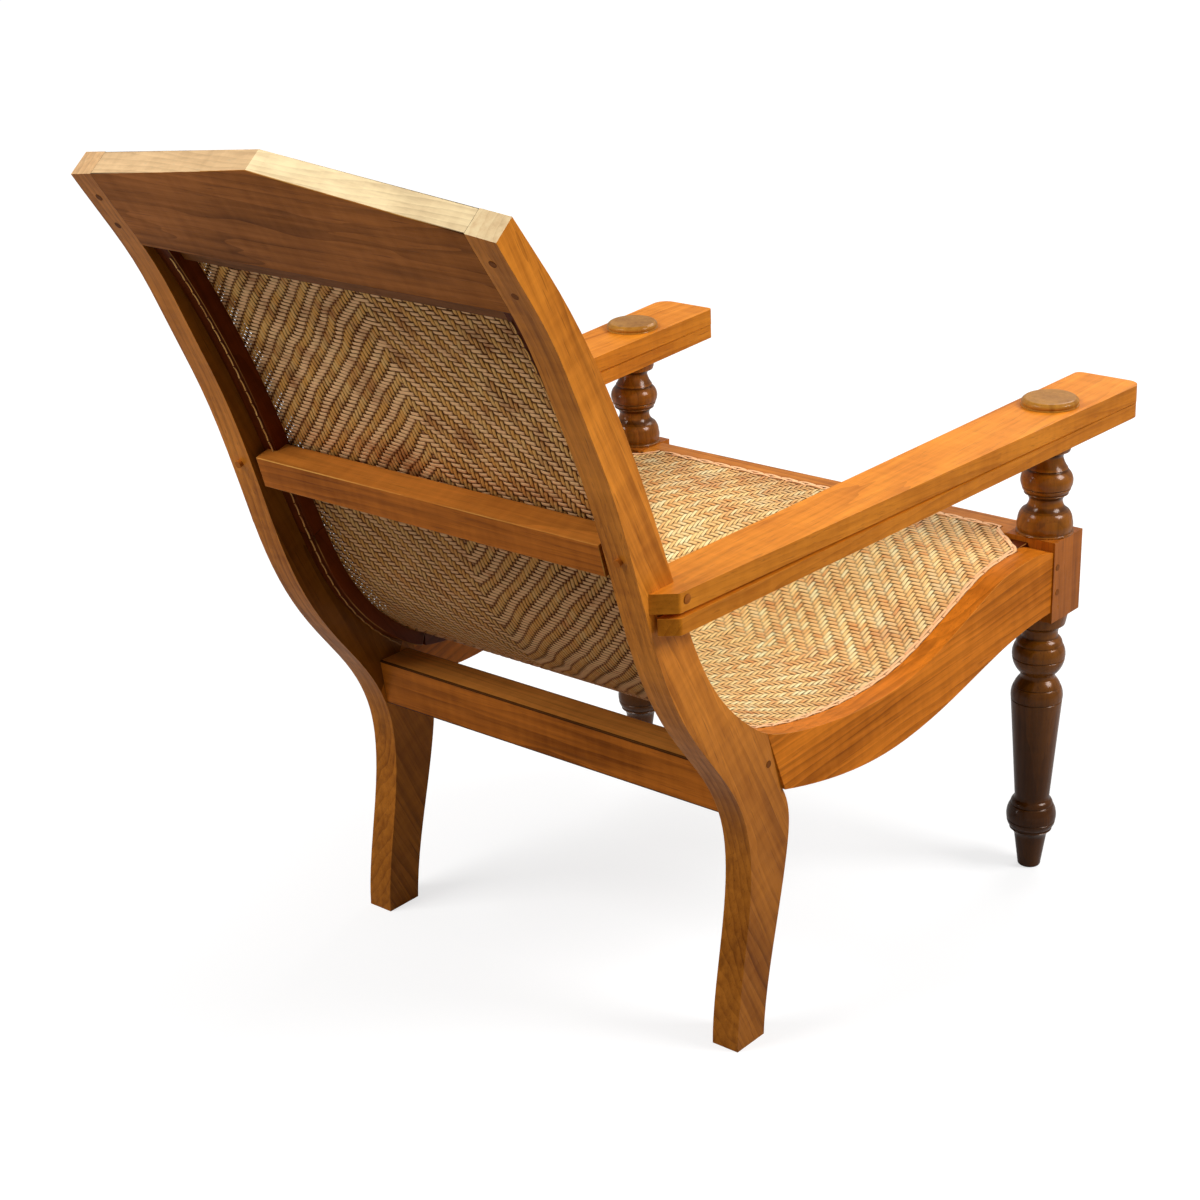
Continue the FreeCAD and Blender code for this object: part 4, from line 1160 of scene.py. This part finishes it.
@dataclass
class CaneWeave:
    """Closed twill, over three and under three, with a diamond centred on the seat and one on the back."""

    line: SeatLine
    pitch_across: float = 4.9 * MM
    pitch_along: float = 5.1 * MM
    width: float = 5.1 * MM
    thickness: float = 1.3 * MM
    lift: float = 0.95 * MM
    depth: float = 1.5 * MM
    side_inset: float = 0.5 * MM
    waver: float = 1.1 * MM
    wander: float = 14 * MM
    seat_centre: float = 297 * MM
    diamonds: int = 104
    samples: float = 2.0
    middle_strands: int = 30
    # A thin dark core in the weave's middle, which paints the shade in its pinholes
    core: float = 0.2 * MM
    core_half: float = 204 * MM
    core_start: float = 4 * MM
    core_end: float = 45 * MM
    core_inset: float = 2 * MM
    core_step: float = 6 * MM
    core_narrows: Span = (0.5, 0.6)
    material: bpy.types.Material = field(default_factory=lambda: CaneFinish().material())

    def __post_init__(self) -> None:
        """Builds the modifier's tree once for all sets of strands."""
        self.back_centre = self.seat_centre + self.diamonds * self.pitch_along
        self.guide = self.line.curve()
        self.tree = self.strand_tree()

    def strand_tree(self) -> bpy.types.NodeTree:
        """Makes the tree that weaves one point for each strand into a strand of the twill.

        Returns:
            The tree.
        """
        sizes = ("Pitch Across", "Pitch Along", "Width", "Thickness", "Lift", "Depth", "Wander", "Seat Centre",
                 "Back Centre")
        tree = StrandTree("woven_strands", {**dict.fromkeys(sizes, "Float"), "Crosswise": "Bool"})
        given = tree.given

        def chosen(crosswise: Value, lengthwise: Value) -> Socket:
            """Switches on the way that the strands run."""
            return tree.add("GeometryNodeSwitch", {"Switch": given["Crosswise"], "False": lengthwise,
                                                   "True": crosswise}, input_type="FLOAT").outputs[0]

        tubes, spot = tree.tubes(6)
        start, end, place, number = tree.carried("start", "end", "place", "number")
        run = tree.scaled(spot[0], tree.minus(end, start), start)
        across, along = chosen(run, place), chosen(place, run)

        # The twill's wave: its steps turn at the seat's and the back's centres, which draws the diamonds
        to_centres = (tree.size_of(tree.minus(along, given[centre]))
                      for centre in ("Seat Centre", "Back Centre"))
        rows = tree.math("DIVIDE", tree.math("MINIMUM", *to_centres), given["Pitch Along"])
        columns = tree.math("DIVIDE", tree.size_of(across), given["Pitch Across"])
        phase = tree.minus(tree.plus(rows, columns), 1.0)
        wave = tree.times(tree.math("COSINE", tree.times(phase, math.tau / 6)), 1.6)
        wave = tree.add("ShaderNodeClamp", {"Value": wave, "Min": -1.0, "Max": 1.0}).outputs[0]
        bulge = tree.times(wave, chosen(-1.0, 1.0))

        # Each strand's own width and waver; near the back's ledges the strands are narrower
        key = tree.joined(tree.times(run, 21.0), tree.times(number, 3.7), given["Seed"])
        aside_waver = tree.waver(key, self.waver)
        broad = tree.remap(tree.noise(tree.vector("ADD", key, (40.0, 0, 0)), 1.0, 0.0), 0.2, 0.8, 0.9, 1.08)
        near_edge = tree.times(tree.remap(tree.size_of(across), 0.19, 0.222), tree.remap(along, 0.52, 0.6))
        broad = tree.times(broad, tree.scaled(near_edge, -0.14, 1.0))
        aside = tree.scaled(tree.half_of(spot[1], given["Width"]), broad, aside_waver)
        over = tree.half_of(spot[2], given["Thickness"])
        up = tree.minus(tree.plus(tree.times(bulge, given["Lift"]), over), given["Depth"])

        # A swell that moves both sets of strands alike over the back, and nothing at its edges
        swell = tree.drift(tree.joined(across, along), 13.0, 1.0, given["Wander"])
        inside = tree.remap(tree.size_of(across), 0.16, 0.235, 1.0, 0.0)
        held = tree.times(inside, tree.remap(along, 0.45, 0.62))
        swell = tree.parts(tree.vector("SCALE", swell, held))
        across = tree.plus(tree.plus(across, swell[0]), chosen(0.0, aside))
        along = tree.plus(tree.plus(along, swell[1]), chosen(aside, 0.0))
        marks = {"shade": tree.shade(number, 17.31), "outer": spot[2], "bulge": bulge,
                 "cross": chosen(1.0, 0.0)}
        return tree.laid(tubes, marks, tree.on_sheet(across, along, up))

    def strands(self, name: str, run: Run, numbers: range, seed: int) -> None:
        """Makes one piece of parallel strands.

        Args:
            name: the piece's name.
            run: which way the strands run.
            numbers: the strands' numbers, counted from the middle or from the seat's centre.
            seed: changes the strands' wander and shade.
        """
        rows = []
        for number in numbers:
            if run is Run.LENGTHWISE:
                place = number * self.pitch_across
                start, end = self.line.span(abs(place) + self.width / 2)
            else:
                place = self.seat_centre + number * self.pitch_along
                end = self.line.half_at(place) - self.side_inset
                start = -end
            rows.append((place, start, end, float(number)))
        longest = max(end - start for _, start, end, _ in rows)
        pitch = self.pitch_along if run is Run.LENGTHWISE else self.pitch_across
        values = {"Pitch Across": self.pitch_across, "Pitch Along": self.pitch_along, "Width": self.width,
                  "Thickness": self.thickness, "Lift": self.lift, "Depth": self.depth, "Wander": self.wander,
                  "Seat Centre": self.seat_centre, "Back Centre": self.back_centre,
                  "Crosswise": run is Run.CROSSWISE, "Samples": int(longest / pitch * self.samples),
                  "Seed": seed, "Seat Line": self.guide, "Cane": self.material}
        grow(name, self.tree, dict(zip(("place", "start", "end", "number"), zip(*rows))), values)

    def shade_sheet(self) -> None:
        """Closes the pinholes between pressed strands with a thin dark core, a sheet of painted shade, but not
        near the back's edges.
        """
        sheet = bmesh.new()
        rows = []
        for where in np.arange(self.core_start, self.line.length - self.core_end, self.core_step):
            edge = self.line.half_at(where) - self.core_inset
            half = float(np.interp(where, self.core_narrows, (edge, self.core_half)))
            corners = ((-half, -1), (half, -1), (half, 1), (-half, 1))
            rows.append([sheet.verts.new(self.line.place(where, across, layer * self.core / 2 - self.depth))
                         for across, layer in corners])
        for one, other in zip(rows, rows[1:]):
            for k in range(4):
                sheet.faces.new((one[k], one[k - 3], other[k - 3], other[k]))
        sheet.faces.new(rows[0][::-1])
        sheet.faces.new(rows[-1])
        bmesh.ops.recalc_face_normals(sheet, faces=sheet.faces)
        mesh = bpy.data.meshes.new("cane_core")
        sheet.to_mesh(mesh)
        sheet.free()
        # Without the strands' marks the cane material draws this sheet in its shadow colour: painted shade
        mesh.materials.append(self.material)
        keep_as_cane("cane_core", mesh)

    def build(self) -> None:
        """Weaves both sets, in pieces of manageable size."""
        self.shade_sheet()
        most = int((self.line.half.max() - self.width / 2) / self.pitch_across)
        lengthwise = [-most, -self.middle_strands, 0, self.middle_strands, most + 1]
        first = -int((self.seat_centre - self.width / 2) / self.pitch_along)
        last = int((self.line.length - self.seat_centre - self.width / 2) / self.pitch_along)
        crosswise = [first + quarter * (last - first) // 4 for quarter in range(4)] + [last + 1]
        for run, bounds, seed in ((Run.LENGTHWISE, lengthwise, 3), (Run.CROSSWISE, crosswise, 11)):
            for part, (low, high) in enumerate(zip(bounds, bounds[1:])):
                self.strands(f"cane_{run.value}_{part + 1}", run, range(low, high), seed + part)


@dataclass
class CaneLacing:
    """Flat border strands along the panel's edges, and the running stitch on the ledges."""

    line: SeatLine
    weave: CaneWeave
    thickness: float = 1.1 * MM
    waver: float = 1.2 * MM
    border_width: float = 7.6 * MM
    border_height: float = -0.2 * MM
    border_step: float = 27 * MM
    border_stitch: float = 25.5 * MM
    border_bow: float = 1.1 * MM
    border_inset: float = 1.5 * MM
    border_samples: int = 11
    stitch_start: float = 2 * MM
    stitch_spacing: float = 17 * MM
    stitch_length: float = 15 * MM
    stitch_width: float = 2.4 * MM
    stitch_bow: float = 0.7 * MM
    stitch_across: float = 228.5 * MM
    stitch_height: float = -25.2 * MM
    stitch_from: float = 545 * MM
    stitch_end: float = 8 * MM
    stitch_samples: int = 7

    def __post_init__(self) -> None:
        """Builds the tree once for all laces."""
        self.tree = self.lace_tree()

    def lace_tree(self) -> bpy.types.NodeTree:
        """Makes the tree that lays flat laces along a path drawn on the sheet.

        Returns:
            The tree.
        """
        tree = StrandTree("laces_on_path", {"Width": "Float", "Thickness": "Float", "Skin": "Float",
                                            "Path": "Object"})
        given = tree.given
        tubes, spot = tree.tubes(8)
        start, end, bow = tree.carried("start", "end", "bow")
        length = tree.scaled(spot[0], tree.minus(end, start), start)
        path = tree.add("GeometryNodeObjectInfo", {"Object": given["Path"]}).outputs["Geometry"]
        sample = tree.add("GeometryNodeSampleCurve", {"Curves": path, "Length": length}, mode="LENGTH").outputs
        aside = tree.vector("NORMALIZE", tree.vector("CROSS_PRODUCT", tuple(UPRIGHT), sample["Tangent"]))
        waver = tree.waver(tree.joined(tree.times(length, 90.0), given["Seed"]), self.waver)
        half = tree.plus(tree.half_of(spot[1], given["Width"]), waver)
        place = tree.parts(tree.vector("ADD", sample["Position"], tree.vector("SCALE", aside, half)))
        arch = tree.times(tree.times(spot[0], tree.minus(1.0, spot[0])), 4.0)
        up = tree.plus(tree.scaled(arch, bow, place[2]), tree.half_of(spot[2], given["Thickness"]))
        marks = {"shade": tree.scaled(tree.shade(start, 733.1), 0.5, 0.4), "outer": spot[2],
                 "bulge": tree.scaled(given["Skin"], 2.0, -1.0), "lace": given["Skin"]}
        return tree.laid(tubes, marks, tree.on_sheet(place[0], place[1], up))

    def side_path(self, sign: int, inset: float, low: float, high: float) -> List[Place]:
        """Points along one side edge of the panel, a little inside it."""
        return [(sign * (self.line.half_at(s) - inset), s, self.border_height)
                for s in np.linspace(low, high, 160)]

    def cross_path(self, start: float, way: int, inset: float) -> List[Place]:
        """Draws a path along the front or the top edge of the panel.

        Args:
            start: where the edge lies along the seat line.
            way: 1 where the panel begins there, -1 where it ends.
            inset: how far inside the edge the path runs.

        Returns:
            The path's points, as across, along and up.
        """
        along = start + way * inset
        half = self.line.half_at(along)
        return [(u, along, self.border_height) for u in np.linspace(-half, half, 60)]

    def laces(self, name: str, points: List[Place], start: float, step: float,
              sizes: Tuple[float, float, float], samples: int, seed: int, skin: float) -> None:
        """Lays a row of laces, one after the other, along a path.

        Args:
            name: the piece's name.
            points: the path, as across, along and up.
            start: where the first lace begins.
            step: from one lace's beginning to the next one's.
            sizes: each lace's length, width and bow.
            samples: how many sections each lace has.
            seed: changes the laces' waver and shade.
            skin: 1 where the cane's pale skin shows, 0 where its split side does.
        """
        long, width, bow = sizes
        path = guide_curve(f"{name}_path", points)
        corners = [Vector(point) for point in points]
        length = sum((b - a).length for a, b in zip(corners, corners[1:]))
        starts = [float(place) for place in np.arange(start, length - long, step)]
        columns = {"start": starts, "end": [place + long for place in starts], "bow": [bow] * len(starts)}
        values = {"Width": width, "Thickness": self.thickness, "Samples": samples, "Seed": seed, "Skin": skin,
                  "Path": path, "Seat Line": self.weave.guide, "Cane": self.weave.material}
        grow(name, self.tree, columns, values)
        bpy.data.objects.remove(path)

    def edge(self, name: str, outline: Callable[[float], List[Place]], seed: int) -> None:
        """Lays a border of two rows of long stitches, set half a step apart, along one edge.

        Args:
            name: the edge's name.
            outline: gives the path at a distance inside the edge.
            seed: changes the strands' waver and shade.
        """
        width = self.border_width / 2
        for row in (0, 1):
            self.laces(f"{name}_row_{row + 1}", outline((row + 0.5) * width), row * self.border_step / 2,
                       self.border_step, (self.border_stitch, width, self.border_bow), self.border_samples,
                       seed + row, 1.0)

    def stitches(self, name: str, sign: int, seed: int) -> None:
        """Lays a running stitch along the rear face of one side's ledges.

        Args:
            name: the piece's name.
            sign: 1 on the left, -1 on the right.
            seed: changes the laces' waver and shade.
        """
        behind = [(sign * self.stitch_across, s, self.stitch_height)
                  for s in np.linspace(self.stitch_from, self.line.length - self.stitch_end, 120)]
        sizes = (self.stitch_length, self.stitch_width, self.stitch_bow)
        self.laces(name, behind, self.stitch_start, self.stitch_spacing, sizes, self.stitch_samples, seed, 0.0)

    def build(self) -> None:
        """Lays the borders on all four edges and the stitches behind."""
        low, high = self.border_inset, self.line.length - self.border_inset
        for side, sign in (("left", 1), ("right", -1)):
            self.edge(f"cane_{side}_edge", partial(self.side_path, sign, low=low, high=high), 21 + 4 * sign)
            self.stitches(f"{side}_ledge_stitches", sign, 41 + sign)
        self.edge("cane_front_edge", partial(self.cross_path, 0.0, 1), 31)
        self.edge("cane_top_edge", partial(self.cross_path, self.line.length, -1), 35)
        bpy.data.objects.remove(self.weave.guide)


# Studio

@dataclass(frozen=True)
class Softbox:
    """A square or oblong soft lamp that faces a point."""

    name: str
    place: Place
    target: Place
    size: Span
    watts: float

    def hang(self) -> None:
        """Adds the lamp to the scene."""
        data = bpy.data.lights.new(self.name, "AREA")
        data.shape = "RECTANGLE"
        data.size, data.size_y = self.size
        data.energy = self.watts
        place = Vector(self.place)
        aim = (Vector(self.target) - place).to_track_quat("-Z", "Y").to_matrix().to_4x4()
        placed(self.name, data).matrix_world = Matrix.Translation(place) @ aim


LAMPS = (
    Softbox("side_softbox", (-2.3, -1.1, 2.3), (0, 0.15, 0.65), (1.2, 1.2), 74),
    Softbox("front_softbox", (0.2, -2.6, 2.7), (0, 0, 0.5), (1.6, 1.2), 36),
    Softbox("top_softbox", (1.2, 1.9, 2.9), (0, 0.3, 0.7), (1.6, 1.4), 72),
    Softbox("window_strip", (2.5, 2.4, 1.1), (0, 0, 0.5), (0.4, 1.0), 8),
)


@dataclass
class Studio:
    """Camera at the photograph's place, soft lamps and a pale floor."""

    eye: Place = (-1.5842, 1.943, 1.3878)
    gaze: Place = (0.598492, -0.714423, -0.362502)
    roll: float = math.radians(1.502)
    lens: float = 70.0
    sensor: float = 36.0
    even_light: float = 0.28
    mirrored_share: float = 0.12
    floor_reach: float = 30.0
    floor_grey: float = 0.36
    floor_glow: Span = (0.7, 0.93)
    floor_fade: Span = (0.8, 4.0)

    def camera(self) -> None:
        """Places the camera."""
        forward = Vector(self.gaze).normalized()
        level = forward.cross(UPRIGHT).normalized()
        right = math.cos(self.roll) * level + math.sin(self.roll) * forward.cross(level)
        data = bpy.data.cameras.new("camera")
        data.lens = self.lens
        data.sensor_width = self.sensor
        data.sensor_fit = "HORIZONTAL"
        data.clip_end = 2 * self.floor_reach
        camera = placed("camera", data)
        turn = Matrix((right, right.cross(forward), -forward)).transposed().to_4x4()
        camera.matrix_world = Matrix.Translation(Vector(self.eye)) @ turn
        bpy.context.scene.camera = camera

    def lights(self) -> None:
        """Hangs the lamps and sets the world's even light."""
        for lamp in LAMPS:
            lamp.hang()
        world = bpy.data.worlds.new("studio")
        bpy.context.scene.world = world
        world.use_nodes = True
        tree = Wiring(world.node_tree)
        even, white = (tree.add("ShaderNodeBackground", {"Color": (1, 1, 1, 1), "Strength": strength})
                       for strength in (self.even_light, 1.0))
        both = tree.add("ShaderNodeMixShader", {0: self.seen_share(tree), 1: even.outputs[0],
                                                2: white.outputs[0]}).outputs[0]
        tree.add("ShaderNodeOutputWorld", {"Surface": both})

    def seen_share(self, tree: Wiring) -> Socket:
        """Picks the rays that show the background as it is: the camera's, and those through gloss or glass.

        Args:
            tree: the tree to add to.

        Returns:
            One for such a ray, and a share of it for a mirrored one.
        """
        path = tree.add("ShaderNodeLightPath").outputs
        mirrored = tree.times(path["Is Glossy Ray"], self.mirrored_share)
        return tree.larger(path["Is Camera Ray"], tree.larger(mirrored, path["Is Transmission Ray"]))

    def floor(self) -> None:
        """Lays a plain pale floor that keeps the chair's shadow."""
        mesh = bpy.data.meshes.new("floor")
        reach = self.floor_reach
        corners = [(x * reach, y * reach, 0) for x, y in ((-1, -1), (1, -1), (1, 1), (-1, 1))]
        mesh.from_pydata(corners, [], [(0, 1, 2, 3)])
        floor = placed("floor", mesh)
        material, tree = surface_tree("floor_paint")
        matt = tree.add("ShaderNodeBsdfDiffuse", {"Color": (*[self.floor_grey] * 3, 1)}).outputs[0]
        place = tree.add("ShaderNodeTexCoord").outputs["Object"]
        far = tree.remap(tree.vector("LENGTH", place), *self.floor_fade, *self.floor_glow)
        glow = tree.add("ShaderNodeEmission", {"Strength": tree.times(self.seen_share(tree), far)}).outputs[0]
        both = tree.add("ShaderNodeAddShader", {0: matt, 1: glow}).outputs[0]
        tree.add("ShaderNodeOutputMaterial", {"Surface": both})
        mesh.materials.append(material)

    def build(self) -> None:
        """Sets up the whole studio."""
        self.camera()
        self.lights()
        self.floor()
        bpy.context.scene.view_settings.view_transform = "Standard"


def main() -> None:
    """Builds the studio, the timber and the cane, in that order."""
    logging.basicConfig(level=logging.INFO, format="%(name)s: %(message)s")
    Studio().build()
    ChairTimber().build()
    line = SeatLine()
    weave = CaneWeave(line)
    weave.build()
    CaneLacing(line, weave).build()


if __name__ == "__main__":
    main()
